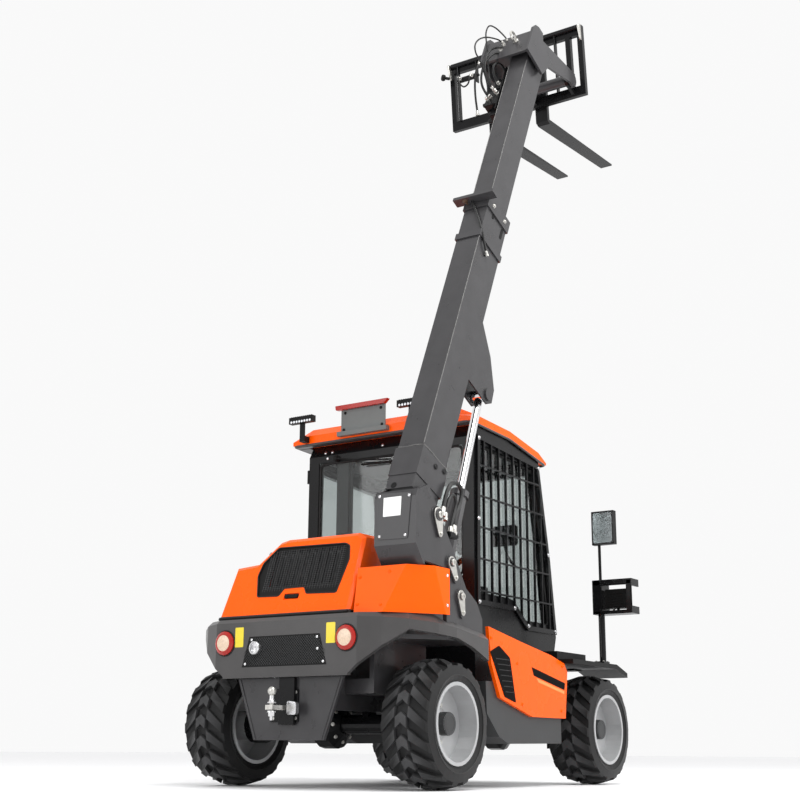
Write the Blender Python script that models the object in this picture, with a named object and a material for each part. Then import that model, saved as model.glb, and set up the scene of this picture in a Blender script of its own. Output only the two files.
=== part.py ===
"""Compact telehandler with its boom raised, modelled from its main dimensions.

Machine frame: +X forward, +Y left, +Z up, ground at z = 0, rear axle at x = 0.
The root empty moves that frame so that the origin lies under the middle of the machine.
Boom frame: X along the boom, Y left, Z out of the boom's top face, origin at the pivot pin.
"""

import math

import bmesh
import bpy
from mathutils import Matrix, Vector

# Clearances and facets
SEAT = 0.0003
RUN = 0.0003
OVERRUN = 0.02
ROUND_SIDES = 16
PIN_SIDES = 12

# Wheels and axles
WHEELBASE = 1.942
TYRE_RADIUS = 0.352
TYRE_WIDTH = 0.310
WHEEL_CENTRE_Y = 0.704
LUG_HEIGHT = 0.024
LUG_COUNT = 18
WHEEL_STEPS = LUG_COUNT * 2
SHOULDER_STEPS = 2
LUG_DRAFT_SHARE = 0.10
CENTRE_BLOCK_HALF = 0.038
CENTRE_BLOCK_SWEEP = 0.030
CROWN_DROP = 0.010
RIM_FLANGE_RADIUS = 0.225
RIM_SEAT_RADIUS = 0.205
RIM_WALL = 0.008
DISC_OFFSET = 0.020
DISC_THICKNESS = 0.012
HUB_RADIUS = 0.085
HUB_CAP_RADIUS = 0.062
HUB_CAP_LENGTH = 0.062
AXLE_TUBE_RADIUS = 0.055
AXLE_FLANGE_RADIUS = 0.105
AXLE_FLANGE_LENGTH = 0.045
DIFFERENTIAL_RADIUS = 0.135
DIFFERENTIAL_WIDTH = 0.200
KINGPIN_Y = 0.530
KINGPIN_RADIUS = 0.022
YOKE_HEIGHT = 0.125
YOKE_LUG = 0.030
YOKE_RADIUS = 0.045
KNUCKLE_RADIUS = 0.040

# Chassis
CHASSIS_REAR_X = -0.380
CHASSIS_NOSE = 0.198
CHASSIS_FRONT_X = WHEELBASE + CHASSIS_NOSE
CHASSIS_HALF_WIDTH = 0.290
RAIL_WIDTH = 0.060
CHASSIS_BOTTOM_Z = 0.420
CHASSIS_TOP_Z = 0.590
BELLY_THICKNESS = 0.012
CROSS_MEMBER = 0.080

# Rear body: bumper and rear fenders
BODY_REAR_X = -0.470
BODY_FRONT_X = 0.330
BODY_HALF_WIDTH = 0.860
BODY_BOTTOM_Z = 0.600
BODY_TOP_Z = 0.935
BODY_WALL = 0.030
BODY_EDGE = 0.110
BUMPER_BOTTOM_HALF = 0.440
LIP_BOTTOM_Z = 0.845
LIP_FRONT_Z = 0.700
LIP_MIDDLE_Z = 0.790
BUMPER_RISE = 0.090
BAY_HALF_WIDTH = 0.470

# Rear details
GRILLE_TOP_HALF = 0.250
GRILLE_BOTTOM_HALF = 0.300
GRILLE_BOTTOM_Z = 0.660
GRILLE_TOP_Z = 0.830
GRILLE_DEPTH = 0.012
TAIL_LAMP_Y = 0.430
TAIL_LAMP_Z = 0.800
TAIL_LAMP_RADIUS = 0.068
TAIL_LAMP_DEPTH = 0.040
HITCH_FACE_X = -0.410
HITCH_THICKNESS = 0.020
HITCH_TOP_Z = 0.600
HITCH_TOP_HALF = 0.372
HITCH_BOTTOM_Z = 0.260
HITCH_BOTTOM_HALF = 0.246
HITCH_FRONT_X = -0.215
HITCH_WALL = 0.008
BALL_X = -0.560
BALL_Z = 0.520
BALL_RADIUS = 0.025

# Engine bay
HOOD_REAR_X = -0.410
HOOD_FRONT_X = 0.660
HOOD_BOTTOM_Z = 0.960
HOOD_TOP_Z = 1.410
HOOD_LEFT_Y = 0.540
HOOD_RIGHT_Y = -0.400
HOOD_WALL = 0.020
ENGINE_REAR_X = -0.180
ENGINE_LENGTH = 0.640
ENGINE_WIDTH = 0.480
ENGINE_HEIGHT = 0.560
ENGINE_BOTTOM_Z = 0.520

# Boom and tower
PIVOT_X = -0.170
PIVOT_Z = 1.480
BOOM_Y = -0.680
BOOM_ANGLE = math.radians(66.2)
OUTER_WIDTH = 0.170
OUTER_HEIGHT = 0.262
OUTER_WALL = 0.008
OUTER_CENTRE_UP = 0.076
OUTER_START_X = 0.100
OUTER_END_X = 2.340
BASE_BOSS_RADIUS = 0.115
PIN_RADIUS = 0.035
INNER_WIDTH = 0.140
INNER_HEIGHT = 0.218
INNER_WALL = 0.008
EXTEND_STROKE_LENGTH = 1.200
STOP_GAP = 0.022
INNER_START_X = OUTER_START_X + OUTER_WALL + EXTEND_STROKE_LENGTH + STOP_GAP
INNER_END_X = 3.900
HEAD_START_X = 3.740
HEAD_END_X = 4.060
HEAD_LEFT_Y = -0.400
HEAD_RIGHT_Y = -0.795
HEAD_PLATE = 0.018
HEAD_TOP_UP = 0.265
HEAD_BOSS_RADIUS = 0.058
HEAD_FRONT_LEAN = 15
TILT_PIVOT_ALONG = 4.120
TILT_PIVOT_DOWN = 0.360
TILT_TUBE_RADIUS = 0.042
TILT_TUBE_SIDES = 24

CHEEK_RIGHT_Y = -0.820
CHEEK_LEFT_Y = -0.545
CHEEK_THICKNESS = 0.025
TOWER_REAR_X = -0.360
TOWER_FRONT_X = 0.330
TOWER_BOTTOM_Z = 0.800
TOWER_TOP_Z = 1.640
TOWER_PLATE_TOP_Z = 1.600
TOWER_PLATE_THICKNESS = 0.020
COVER_REAR_X = -0.400
COVER_FRONT_X = -0.060
COVER_TOP_Z = 1.190
COVER_BOTTOM_Z = BODY_TOP_Z + SEAT
COVER_RIGHT_Y = -0.838
COVER_LEFT_Y = -0.425
COVER_WALL = 0.018
COVER_TOP_LEAN = 0.040
COVER_FOOT_CORNER_Y = -0.620
COVER_TOP_CORNER_Y = -0.745
COVER_FOOT_CORNER_X = -0.100
COVER_TOP_CORNER_X = -0.215

# Lift cylinder
LIFT_BASE_X = 0.070
LIFT_BASE_Z = 1.050
LIFT_PIN_ALONG = 1.100
LIFT_PIN_DOWN = 0.320
LIFT_BARREL_RADIUS = 0.048
LIFT_BARREL_START_X = 0.040
LIFT_BARREL_END_X = 0.700
LIFT_BARREL_WALL = 0.010
LIFT_ROD_RADIUS = 0.026
LIFT_ROD_OVERLAP = 0.015
LIFT_EYE_RADIUS = 0.040
LIFT_EYE_WIDTH = 0.080
LIFT_PIN_RADIUS = 0.022
BRACKET_PLATE = 0.012
BRACKET_INNER_HALF = 0.045
BRACKET_START_X = 1.050
BRACKET_END_X = 1.540
BRACKET_DEPTH = 0.385

# Fork carriage, in its own frame at the tilt pivot
FORK_TILT = math.radians(5.0)
CARRIAGE_LEFT_Y = 0.310
CARRIAGE_RIGHT_Y = -0.860
CARRIAGE_FACE_X = 0.110
CARRIAGE_BAR = 0.040
CARRIAGE_BAR_HEIGHT = 0.075
CARRIAGE_BOTTOM_Z = -0.110
CARRIAGE_TOP_Z = 0.450
CARRIAGE_EAR = 0.022
CARRIAGE_EAR_RADIUS = 0.065
FORK_WIDTH = 0.100
FORK_THICKNESS = 0.035
FORK_LENGTH = 1.180
FORK_TIP_THICKNESS = 0.012
FORK_HEEL_Z = -0.236
FORK_LEFT_Y = -0.050
FORK_RIGHT_Y = -0.460

# Side structures
SIDE_OUTER_Y = 0.820
SIDE_INNER_Y = 0.360
SIDE_PANEL = 0.022
SIDE_REAR_X = 0.400
WHEEL_GAP = 0.245
PANEL_NOSE = 0.065
SKIRT_FRONT_X = WHEELBASE - TYRE_RADIUS - WHEEL_GAP
SIDE_FRONT_X = SKIRT_FRONT_X + PANEL_NOSE
SIDE_TOP_Z = 0.910
SIDE_BOTTOM_Z = 0.410
SKIRT_BOTTOM_Z = 0.250
STEP_DEPTH = 0.160

# Front fenders, mirror and work lamp
FENDER_INNER_Y = 0.575
FENDER_OUTER_Y = 0.880
FENDER_REAR_REACH = 0.566
FENDER_FRONT_REACH = 0.268
FENDER_REAR_X = WHEELBASE - FENDER_REAR_REACH
FENDER_FRONT_X = WHEELBASE + FENDER_FRONT_REACH
FENDER_TOP_Z = 0.780
FENDER_THICKNESS = 0.030
FENDER_DROP = 0.050
DECK_BOX_GAP = 0.024
DECK_BOX_REAR_X = FENDER_REAR_X + DECK_BOX_GAP
DECK_BOX_LENGTH = 0.420
DECK_BOX_HEIGHT = 0.055
DECK_BOX_WIDTH = 0.160
POST_BACK = 0.052
POST_X = WHEELBASE - POST_BACK
POST_Y = -0.850
POST_RADIUS = 0.022
POST_TOP_Z = 1.120
STALK_RADIUS = 0.010
MIRROR_BOTTOM_Z = 1.570
MIRROR_TOP_Z = 1.800
MIRROR_INNER_Y = -0.822
MIRROR_OUTER_Y = -0.985
MIRROR_DEPTH = 0.045
LAMP_BOTTOM_Z = 1.100
LAMP_TOP_Z = 1.330
LAMP_INNER_Y = -0.815
LAMP_OUTER_Y = -1.100
LAMP_GUARD = 0.012
LAMP_GUARD_DEPTH = 0.120

# Cab
CAB_RIGHT_Y = -0.553
CAB_LEFT_Y = 0.750
CAB_REAR_X = 0.700
CAB_FRONT_X = 1.790
CAB_FLOOR_Z = 0.600
CAB_TOP_Z = 2.230
CAB_POST = 0.055
ROOF_THICKNESS = 0.110
ROOF_REAR_X = 0.640
ROOF_FRONT_X = 1.670
ROOF_LEFT_Y = 0.850
ROOF_RIGHT_Y = -0.570
ROOF_CROWN = 0.130
ROOF_EDGE_SHARE = 0.45
GLASS_THICKNESS = 0.008
GUARD_THICKNESS = 0.016
GUARD_FRAME = 0.030
GUARD_BAR = 0.010
GUARD_COLUMNS = 10
GUARD_ROWS = 5
DOOR_THICKNESS = 0.032
SEAT_X = 1.120
SEAT_Y = 0.090
SEAT_WIDTH = 0.460
WHEEL_RING_RADIUS = 0.170
WHEEL_RING_TUBE = 0.014
COLUMN_LEAN = math.radians(35)

# The whole machine
BALL_REAR_X = BALL_X - BALL_RADIUS
PIVOT_REACH = PIVOT_X + TILT_PIVOT_ALONG * math.cos(BOOM_ANGLE) + TILT_PIVOT_DOWN * math.sin(BOOM_ANGLE)
FORK_REACH = CARRIAGE_FACE_X + SEAT + FORK_LENGTH
FORK_TIP_X = PIVOT_REACH + FORK_REACH * math.cos(FORK_TILT) - FORK_HEEL_Z * math.sin(FORK_TILT)
CENTRE_X = (BALL_REAR_X + FORK_TIP_X) / 2
CENTRE_Y = (ROOF_LEFT_Y + LAMP_OUTER_Y) / 2


def new_solid(bm):
    """Wraps a bmesh as a loose object whose faces point outward."""
    bmesh.ops.recalc_face_normals(bm, faces=bm.faces)
    mesh = bpy.data.meshes.new("solid")
    bm.to_mesh(mesh)
    bm.free()
    solid = bpy.data.objects.new("solid", mesh)
    bpy.context.scene.collection.objects.link(solid)
    return solid


def loft(rings, closed=False):
    """Skins equal rings of points; the ends are capped unless the rings close on themselves."""
    bm = bmesh.new()
    levels = [[bm.verts.new(point) for point in ring] for ring in rings]
    pairs = list(zip(levels, levels[1:]))
    if closed:
        pairs.append((levels[-1], levels[0]))
    for low, high in pairs:
        for index in range(len(low)):
            after = (index + 1) % len(low)
            bm.faces.new((low[index], low[after], high[after], high[index]))
    if not closed:
        bm.faces.new(levels[0])
        bm.faces.new(levels[-1])
    return new_solid(bm)


def prism(outline, axis, low, high):
    """Extrudes an outline along X, Y or Z; its points are the other two coordinates in order."""
    order = {"x": (2, 0, 1), "y": (0, 2, 1), "z": (0, 1, 2)}[axis]

    def ring(level):
        return [tuple((first, second, level)[slot] for slot in order) for first, second in outline]

    return loft([ring(low), ring(high)])


def box(x_pair, y_pair, z_pair):
    """A plain block between two values on each axis."""
    corners = [(x, y) for x, y in zip((x_pair * 2), (y_pair[0], y_pair[0], y_pair[1], y_pair[1]))]
    ordered = [corners[0], corners[1], corners[3], corners[2]]
    return prism(ordered, "z", z_pair[0], z_pair[1])


def turned(profile, centre, direction, steps=ROUND_SIDES):
    """Turns a profile of (radius, along) points round an axis; radius 0 may end the profile."""
    axis = Vector(direction).normalized()
    helper = Vector((0, 0, 1)) if abs(axis.z) < 0.9 else Vector((1, 0, 0))
    side = axis.cross(helper).normalized()
    other = axis.cross(side)
    start = Vector(centre)
    bm = bmesh.new()
    rings = []
    for index, (radius, along) in enumerate(profile):
        middle = start + axis * along
        if radius == 0:
            level = profile[1][1] if index == 0 else profile[-2][1]
            rings.append([] if level == along else [bm.verts.new(middle)])
            continue
        angles = [2 * math.pi * step / steps for step in range(steps)]
        rings.append([
            bm.verts.new(middle + (side * math.cos(angle) + other * math.sin(angle)) * radius)
            for angle in angles
        ])
    pairs = list(zip(rings, rings[1:]))
    if profile[0][0]:
        pairs.append((rings[-1], rings[0]))
    for low, high in pairs:
        if not low or not high:
            bm.faces.new(low or high)
            continue
        for step in range(steps):
            after = (step + 1) % steps
            if len(low) == 1:
                bm.faces.new((low[0], high[after], high[step]))
            elif len(high) == 1:
                bm.faces.new((low[step], low[after], high[0]))
            else:
                bm.faces.new((low[step], low[after], high[after], high[step]))
    return new_solid(bm)


def rod(start, end, radius, steps=ROUND_SIDES):
    """A round bar from one point to another."""
    along = Vector(end) - Vector(start)
    return turned([(0, 0), (radius, 0), (radius, along.length), (0, along.length)], start, along, steps)


def combine(base, tools, operation):
    """Runs one exact Boolean for each tool and removes the tools."""
    for tool in tools:
        modifier = base.modifiers.new("Boolean", "BOOLEAN")
        modifier.operation = operation
        modifier.solver = "EXACT"
        modifier.object = tool
    bpy.context.view_layer.update()
    evaluated = base.evaluated_get(bpy.context.evaluated_depsgraph_get())
    mesh = bpy.data.meshes.new_from_object(evaluated)
    base.modifiers.clear()
    base.data = mesh
    for tool in tools:
        bpy.data.objects.remove(tool)
    return base


def unite(base, *tools):
    """Joins overlapping solids into one body."""
    return combine(base, tools, "UNION")


def cut(base, *tools):
    """Takes the tools' volumes away."""
    return combine(base, tools, "DIFFERENCE")


def spread(shares, x_pair, z_pair):
    """Places outline shares, counted from 0 to 1, in a rectangle of named sizes."""
    x_low, x_high = x_pair
    z_low, z_high = z_pair
    return [(x_low + (x_high - x_low) * x, z_low + (z_high - z_low) * z) for x, z in shares]


def arc(centre, radius, start, end, steps):
    """Points along an arc, from one angle in degrees to another."""
    turns = [math.radians(start + (end - start) * step / steps) for step in range(steps + 1)]
    return [(centre[0] + radius * math.cos(turn), centre[1] + radius * math.sin(turn)) for turn in turns]


def paint(name, colour, roughness, metallic=0.0):
    """A Principled material for one sub-part."""
    material = bpy.data.materials.new(name)
    material.use_nodes = True
    shader = material.node_tree.nodes["Principled BSDF"]
    shader.inputs["Base Color"].default_value = (*colour, 1.0)
    shader.inputs["Roughness"].default_value = roughness
    shader.inputs["Metallic"].default_value = metallic
    return material


ORANGE = ((0.90, 0.16, 0.01), 0.30)
GREY = ((0.08, 0.085, 0.09), 0.40)
BLACK = ((0.012, 0.012, 0.013), 0.50)
SILVER = ((0.62, 0.63, 0.64), 0.35, 0.6)
CHROME = ((0.70, 0.70, 0.70), 0.12, 1.0)
RUBBER = ((0.015, 0.015, 0.015), 0.85)
GLASS = ((0.30, 0.36, 0.36), 0.05)
RED = ((0.60, 0.03, 0.02), 0.25)
FABRIC = ((0.03, 0.03, 0.03), 0.90)
ZINC = ((0.50, 0.50, 0.47), 0.35, 0.9)


def keep(name, solid, finish, location=(0, 0, 0), turn=0.0):
    """Names a finished solid, gives it its material and places it in the machine frame."""
    solid.name = name
    solid.data.name = name
    solid.data.materials.clear()
    solid.data.materials.append(paint(name, *finish))
    solid.data.shade_smooth()
    solid.data.set_sharp_from_angle(angle=math.radians(35))
    solid.location = location
    solid.rotation_euler = (0, -turn, 0)
    solid.parent = bpy.data.objects["machine"]
    return solid


def about(solid, pivot):
    """Moves a solid's own origin to the pivot, so that it turns there."""
    solid.data.transform(Matrix.Translation(-Vector(pivot)))
    return solid


def boom_point(along, up):
    """Machine x and z of a point in the boom frame."""
    cosine = math.cos(BOOM_ANGLE)
    sine = math.sin(BOOM_ANGLE)
    return (PIVOT_X + along * cosine - up * sine, PIVOT_Z + along * sine + up * cosine)


def ring_bore(centre, direction, radius, length, steps=PIN_SIDES):
    """A cutter for a bore whose flats stay clear of a pin of the given radius."""
    reach = (radius + RUN) / math.cos(math.pi / steps)
    start = Vector(centre) - Vector(direction).normalized() * length / 2
    end = Vector(centre) + Vector(direction).normalized() * length / 2
    return rod(start, end, reach, steps)


# Tyre section shares, from the bead to the shoulder: radius over the tyre's height, half width over its half width
TYRE_SECTION_SHARES = ((0.00, 0.86), (0.45, 1.00), (0.86, 0.95))


def tyre_rings():
    """Radius, place across and turn of each ring of a tyre's carcass, from one bead to the other."""
    crown = TYRE_RADIUS - LUG_HEIGHT
    seat = RIM_SEAT_RADIUS + RIM_WALL
    half = TYRE_WIDTH / 2
    lean = 2 * math.pi * SHOULDER_STEPS / WHEEL_STEPS
    side = [(seat + (crown - seat) * rise, half * width, lean) for rise, width in TYRE_SECTION_SHARES]
    side.append((crown, CENTRE_BLOCK_HALF, CENTRE_BLOCK_SWEEP / TYRE_RADIUS))
    return [(radius, -across, turn) for radius, across, turn in side] + [(crown, 0.0, 0.0)] + side[::-1]


def raised(corners, centre, lift):
    """Top corners of a tread block: lifted outward and drawn in towards the block's middle."""
    tops = []
    for corner in corners:
        drawn = corner.lerp(centre, LUG_DRAFT_SHARE)
        outward = Vector((drawn.x, 0, drawn.z)).normalized()
        tops.append(drawn + outward * lift)
    return tops


def lug_tyre():
    """An agricultural tyre: centre chevrons and long swept shoulder lugs raised out of one skin."""
    rings = tyre_rings()
    steps = WHEEL_STEPS
    bm = bmesh.new()
    levels = []
    for radius, across, turn in rings:
        angles = [turn - math.pi / 2 + 2 * math.pi * step / steps for step in range(steps)]
        levels.append([
            bm.verts.new((radius * math.cos(angle), across, radius * math.sin(angle))) for angle in angles
        ])
    count = len(levels)
    middle = count // 2
    blocks = []
    for low in range(count):
        high = (low + 1) % count
        for step in range(steps):
            after = (step + 1) % steps
            face = [levels[low][step], levels[low][after], levels[high][after], levels[high][step]]
            centre_block = low in (middle - 1, middle) and step % 2 == 0
            shoulder_lug = low in (middle - 2, middle + 1) and step % 2 == 1
            if centre_block and low == middle - 1:
                blocks.append([levels[low][step], levels[middle][step], levels[high + 1][step],
                               levels[high + 1][after], levels[middle][after], levels[low][after]])
            elif shoulder_lug:
                blocks.append(face)
            elif not centre_block:
                bm.faces.new(face)
    for corners in blocks:
        centre = sum((corner.co for corner in corners), Vector()) / len(corners)
        tops = []
        for corner, place in zip(corners, raised([corner.co for corner in corners], centre, LUG_HEIGHT)):
            if len(corners) == 4 and abs(corner.co.y) > CENTRE_BLOCK_HALF * 2:
                place = place - Vector((place.x, 0, place.z)).normalized() * CROWN_DROP
            tops.append(bm.verts.new(place))
        for index in range(len(corners)):
            after = (index + 1) % len(corners)
            bm.faces.new((corners[index], corners[after], tops[after], tops[index]))
        if len(tops) == 6:
            bm.faces.new((tops[0], tops[1], tops[4], tops[5]))
            bm.faces.new((tops[1], tops[2], tops[3], tops[4]))
        else:
            bm.faces.new(tops)
    return new_solid(bm)


def wheel(name, x, side):
    """One tyre and its rim, each with its origin on the wheel's axis."""
    centre = (x, side * WHEEL_CENTRE_Y, TYRE_RADIUS)
    axis = (0, side, 0)
    keep("tyre_" + name, lug_tyre(), RUBBER, centre)
    half = TYRE_WIDTH / 2
    seat = RIM_SEAT_RADIUS + RIM_WALL - SEAT
    inside = seat - RIM_WALL
    (low_rise, low_width), (high_rise, high_width) = TYRE_SECTION_SHARES[:2]
    wall_height = (TYRE_RADIUS - LUG_HEIGHT - RIM_SEAT_RADIUS - RIM_WALL) * (high_rise - low_rise)
    lean = half * (high_width - low_width) / wall_height
    bead = half * low_width + SEAT * 2
    flange = bead + lean * (RIM_FLANGE_RADIUS - seat)
    face = flange + RIM_WALL
    disc = DISC_OFFSET + DISC_THICKNESS
    barrel = turned([
        (seat, -bead), (RIM_FLANGE_RADIUS, -flange), (RIM_FLANGE_RADIUS, -face), (inside, -face),
        (inside, face), (RIM_FLANGE_RADIUS, face), (RIM_FLANGE_RADIUS, flange), (seat, bead),
    ], (0, 0, 0), axis, WHEEL_STEPS)
    inner_face = KINGPIN_Y + AXLE_FLANGE_LENGTH + RUN - WHEEL_CENTRE_Y
    hub = turned([
        (0, inner_face), (HUB_RADIUS, inner_face), (HUB_RADIUS, DISC_OFFSET),
        (inside + RIM_WALL / 2, DISC_OFFSET), (inside + RIM_WALL / 2, disc), (HUB_RADIUS, disc),
        (HUB_CAP_RADIUS, disc + DISC_THICKNESS), (HUB_CAP_RADIUS, disc + HUB_CAP_LENGTH),
        (0, disc + HUB_CAP_LENGTH),
    ], (0, 0, 0), axis, WHEEL_STEPS)
    keep("rim_" + name, unite(barrel, hub), SILVER, centre)


def wheels():
    """Four equal wheels from the wheelbase and the two sides."""
    for place, x in (("rear", 0.0), ("front", WHEELBASE)):
        for hand, side in (("left", 1), ("right", -1)):
            wheel(place + "_" + hand, x, side)


def axle_beam(x, reach):
    """A tube across the machine with the differential's housing in its middle."""
    beam = rod((x, -reach, TYRE_RADIUS), (x, reach, TYRE_RADIUS), AXLE_TUBE_RADIUS)
    half = DIFFERENTIAL_WIDTH / 2
    bulge = turned([
        (0, -half), (DIFFERENTIAL_RADIUS / 2, -half), (DIFFERENTIAL_RADIUS, -half / 2),
        (DIFFERENTIAL_RADIUS, half / 2), (DIFFERENTIAL_RADIUS / 2, half), (0, half),
    ], (x, 0, TYRE_RADIUS), (0, 1, 0), ROUND_SIDES)
    pads = [
        box((x - AXLE_TUBE_RADIUS * 3 / 4, x + AXLE_TUBE_RADIUS * 3 / 4), (y - RAIL_WIDTH / 3, y + RAIL_WIDTH / 3),
            (TYRE_RADIUS, CHASSIS_BOTTOM_Z - SEAT))
        for y in (CHASSIS_HALF_WIDTH - RAIL_WIDTH / 2, RAIL_WIDTH / 2 - CHASSIS_HALF_WIDTH)
    ]
    return unite(beam, bulge, *pads)


def axles():
    """The rigid rear axle, the steered front axle and its two knuckles."""
    flange_end = KINGPIN_Y + AXLE_FLANGE_LENGTH
    rear = axle_beam(0.0, KINGPIN_Y)
    flanges = [
        rod((0, side * (KINGPIN_Y - AXLE_FLANGE_LENGTH), TYRE_RADIUS),
            (0, side * flange_end, TYRE_RADIUS), AXLE_FLANGE_RADIUS)
        for side in (1, -1)
    ]
    keep("rear_axle", unite(rear, *flanges), GREY)
    yoke_inner = KINGPIN_Y - YOKE_RADIUS * 2
    front = axle_beam(WHEELBASE, yoke_inner - YOKE_LUG / 2)
    lugs = []
    for side in (1, -1):
        web_y = (side * (yoke_inner - YOKE_LUG), side * yoke_inner)
        lugs.append(box((WHEELBASE - YOKE_RADIUS, WHEELBASE + YOKE_RADIUS), web_y,
                        (TYRE_RADIUS - YOKE_HEIGHT, TYRE_RADIUS + YOKE_HEIGHT)))
        inner = side * (yoke_inner - YOKE_LUG / 2)
        reach = YOKE_RADIUS - SEAT
        outline = [(WHEELBASE + side * reach, inner)]
        first = 0 if side > 0 else 180
        outline += arc((WHEELBASE, side * KINGPIN_Y), reach, first, first + 180, 6)
        outline += [(WHEELBASE - side * reach, inner)]
        for low in (TYRE_RADIUS - YOKE_HEIGHT + SEAT, TYRE_RADIUS + YOKE_HEIGHT - YOKE_LUG - SEAT):
            lugs.append(prism(outline, "z", low, low + YOKE_LUG))
    bores = [
        ring_bore((WHEELBASE, side * KINGPIN_Y, TYRE_RADIUS), (0, 0, 1), KINGPIN_RADIUS, YOKE_HEIGHT * 3)
        for side in (1, -1)
    ]
    keep("front_axle", cut(unite(front, *lugs), *bores), GREY)
    for hand, side in (("left", 1), ("right", -1)):
        pivot = (WHEELBASE, side * KINGPIN_Y, TYRE_RADIUS)
        reach = YOKE_HEIGHT - YOKE_LUG - SEAT - RUN
        body = rod((0, 0, -reach), (0, 0, reach), KNUCKLE_RADIUS)
        pin = rod((0, 0, -YOKE_HEIGHT), (0, 0, YOKE_HEIGHT), KINGPIN_RADIUS, PIN_SIDES)
        spindle = rod((0, 0, 0), (0, side * AXLE_FLANGE_LENGTH, 0), HUB_RADIUS)
        inner_flat = box((-HUB_RADIUS * 2, HUB_RADIUS * 2), (0, -side * HUB_RADIUS * 2),
                         (-HUB_RADIUS * 2, HUB_RADIUS * 2))
        keep("knuckle_" + hand, unite(cut(spindle, inner_flat), body, pin), GREY, pivot)


def chassis():
    """Two box rails with cross members, a belly plate and the outriggers that carry the tower."""
    rails = []
    for side in (1, -1):
        outer = side * CHASSIS_HALF_WIDTH
        inner = side * (CHASSIS_HALF_WIDTH - RAIL_WIDTH)
        rails.append(box((CHASSIS_REAR_X, CHASSIS_FRONT_X), (inner, outer),
                         (CHASSIS_BOTTOM_Z, CHASSIS_TOP_Z)))
    span = CHASSIS_HALF_WIDTH - RAIL_WIDTH / 2
    cross_shares = (0.0, 0.30, 0.55, 1.0)
    length = CHASSIS_FRONT_X - CHASSIS_REAR_X - CROSS_MEMBER
    for share in cross_shares:
        start = CHASSIS_REAR_X + length * share
        rails.append(box((start, start + CROSS_MEMBER), (-span, span),
                         (CHASSIS_BOTTOM_Z + BELLY_THICKNESS, CHASSIS_TOP_Z - BELLY_THICKNESS)))
    belly_start = DIFFERENTIAL_RADIUS * 2
    rails.append(box((belly_start, WHEELBASE - belly_start), (-span, span),
                     (CHASSIS_BOTTOM_Z, CHASSIS_BOTTOM_Z + BELLY_THICKNESS)))
    wall_y = CHEEK_LEFT_Y + RAIL_WIDTH
    rails.append(box((TOWER_REAR_X + CROSS_MEMBER, TOWER_FRONT_X - CROSS_MEMBER),
                     (wall_y, -span), (CHASSIS_TOP_Z - CROSS_MEMBER, CHASSIS_TOP_Z)))
    rails.append(box((TOWER_REAR_X + CROSS_MEMBER, TOWER_FRONT_X - CROSS_MEMBER),
                     (wall_y, wall_y + RAIL_WIDTH / 2), (CHASSIS_TOP_Z - CROSS_MEMBER, TOWER_BOTTOM_Z - SEAT)))
    for side in (1, -1):
        y_pair = (side * (CHASSIS_HALF_WIDTH - RAIL_WIDTH + SEAT), side * (CHASSIS_HALF_WIDTH - SEAT))
        rails.append(box((CHASSIS_REAR_X + SEAT, CHASSIS_REAR_X + CROSS_MEMBER), y_pair,
                         (CHASSIS_TOP_Z - CROSS_MEMBER, BODY_BOTTOM_Z + BUMPER_RISE)))
        rails.append(box((BODY_REAR_X + BODY_WALL + SEAT, CHASSIS_REAR_X + CROSS_MEMBER / 2), y_pair,
                         (BODY_BOTTOM_Z + BELLY_THICKNESS, BODY_BOTTOM_Z + BUMPER_RISE + BELLY_THICKNESS)))
    keep("chassis_frame", unite(rails[0], *rails[1:]), GREY)


# Tower cheek outline shares, from the front bottom corner round to the toe over the orange cover
CHEEK_SHARES = (
    (1.00, 0.00), (1.00, 0.17), (0.91, 0.28), (0.74, 0.36), (0.52, 0.62), (0.16, 1.00), (0.03, 0.96), (0.00, 0.90),
    (0.00, 0.60), (0.10, 0.49),
)
CHEEK_FOOT_SHARE = 0.13
CHEEK_CORNER_SHARE = 0.43
CHEEK_WAIST_SHARE = 0.47
RETAINER_LENGTH = 0.105
RETAINER_THICKNESS = 0.012
RETAINER_RADIUS = 0.042
SECOND_PIN_X = -0.030
SECOND_PIN_Z = 1.230
SECOND_PIN_RADIUS = 0.025
FIRST_RETAINER_LEAN = math.radians(-80)
SECOND_RETAINER_LEAN = math.radians(-62)
THIRD_RETAINER_LEAN = math.radians(-78)
RETAINER_WRAP = 110


def retainer(x, z, y, angle):
    """A pear-shaped pin retainer on the outside of the right cheek."""
    small = RETAINER_RADIUS / 2
    far = (x + RETAINER_LENGTH * math.cos(angle), z + RETAINER_LENGTH * math.sin(angle))
    aim = math.degrees(angle)
    open_half = 180 - RETAINER_WRAP
    outline = arc((x, z), RETAINER_RADIUS, aim + open_half, aim + 360 - open_half, 8)
    outline += arc(far, small, aim - open_half, aim + open_half, 4)
    return prism(outline, "y", y - RETAINER_THICKNESS, y + OVERRUN / 4)


def cheek_outline(foot_share):
    """One cheek's outline; its foot starts at a share of the tower's length."""
    shares = CHEEK_SHARES + ((foot_share, CHEEK_WAIST_SHARE), (foot_share, 0.0))
    return spread(shares, (TOWER_REAR_X, TOWER_FRONT_X), (TOWER_BOTTOM_Z, TOWER_TOP_Z))


def tower_foot(margin):
    """Plan outline of the tower's foot, which keeps inside the body's drawn-in corner."""
    length = TOWER_FRONT_X - TOWER_REAR_X
    left = CHEEK_LEFT_Y + RAIL_WIDTH * 3 / 2
    return [
        (TOWER_FRONT_X + margin, CHEEK_RIGHT_Y - margin), (TOWER_FRONT_X + margin, left + margin),
        (TOWER_REAR_X - margin, left + margin), (TOWER_REAR_X - margin, CHEEK_LEFT_Y - CHEEK_THICKNESS - margin),
        (TOWER_REAR_X + length * CHEEK_CORNER_SHARE - margin, CHEEK_RIGHT_Y - margin),
    ]


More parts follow.
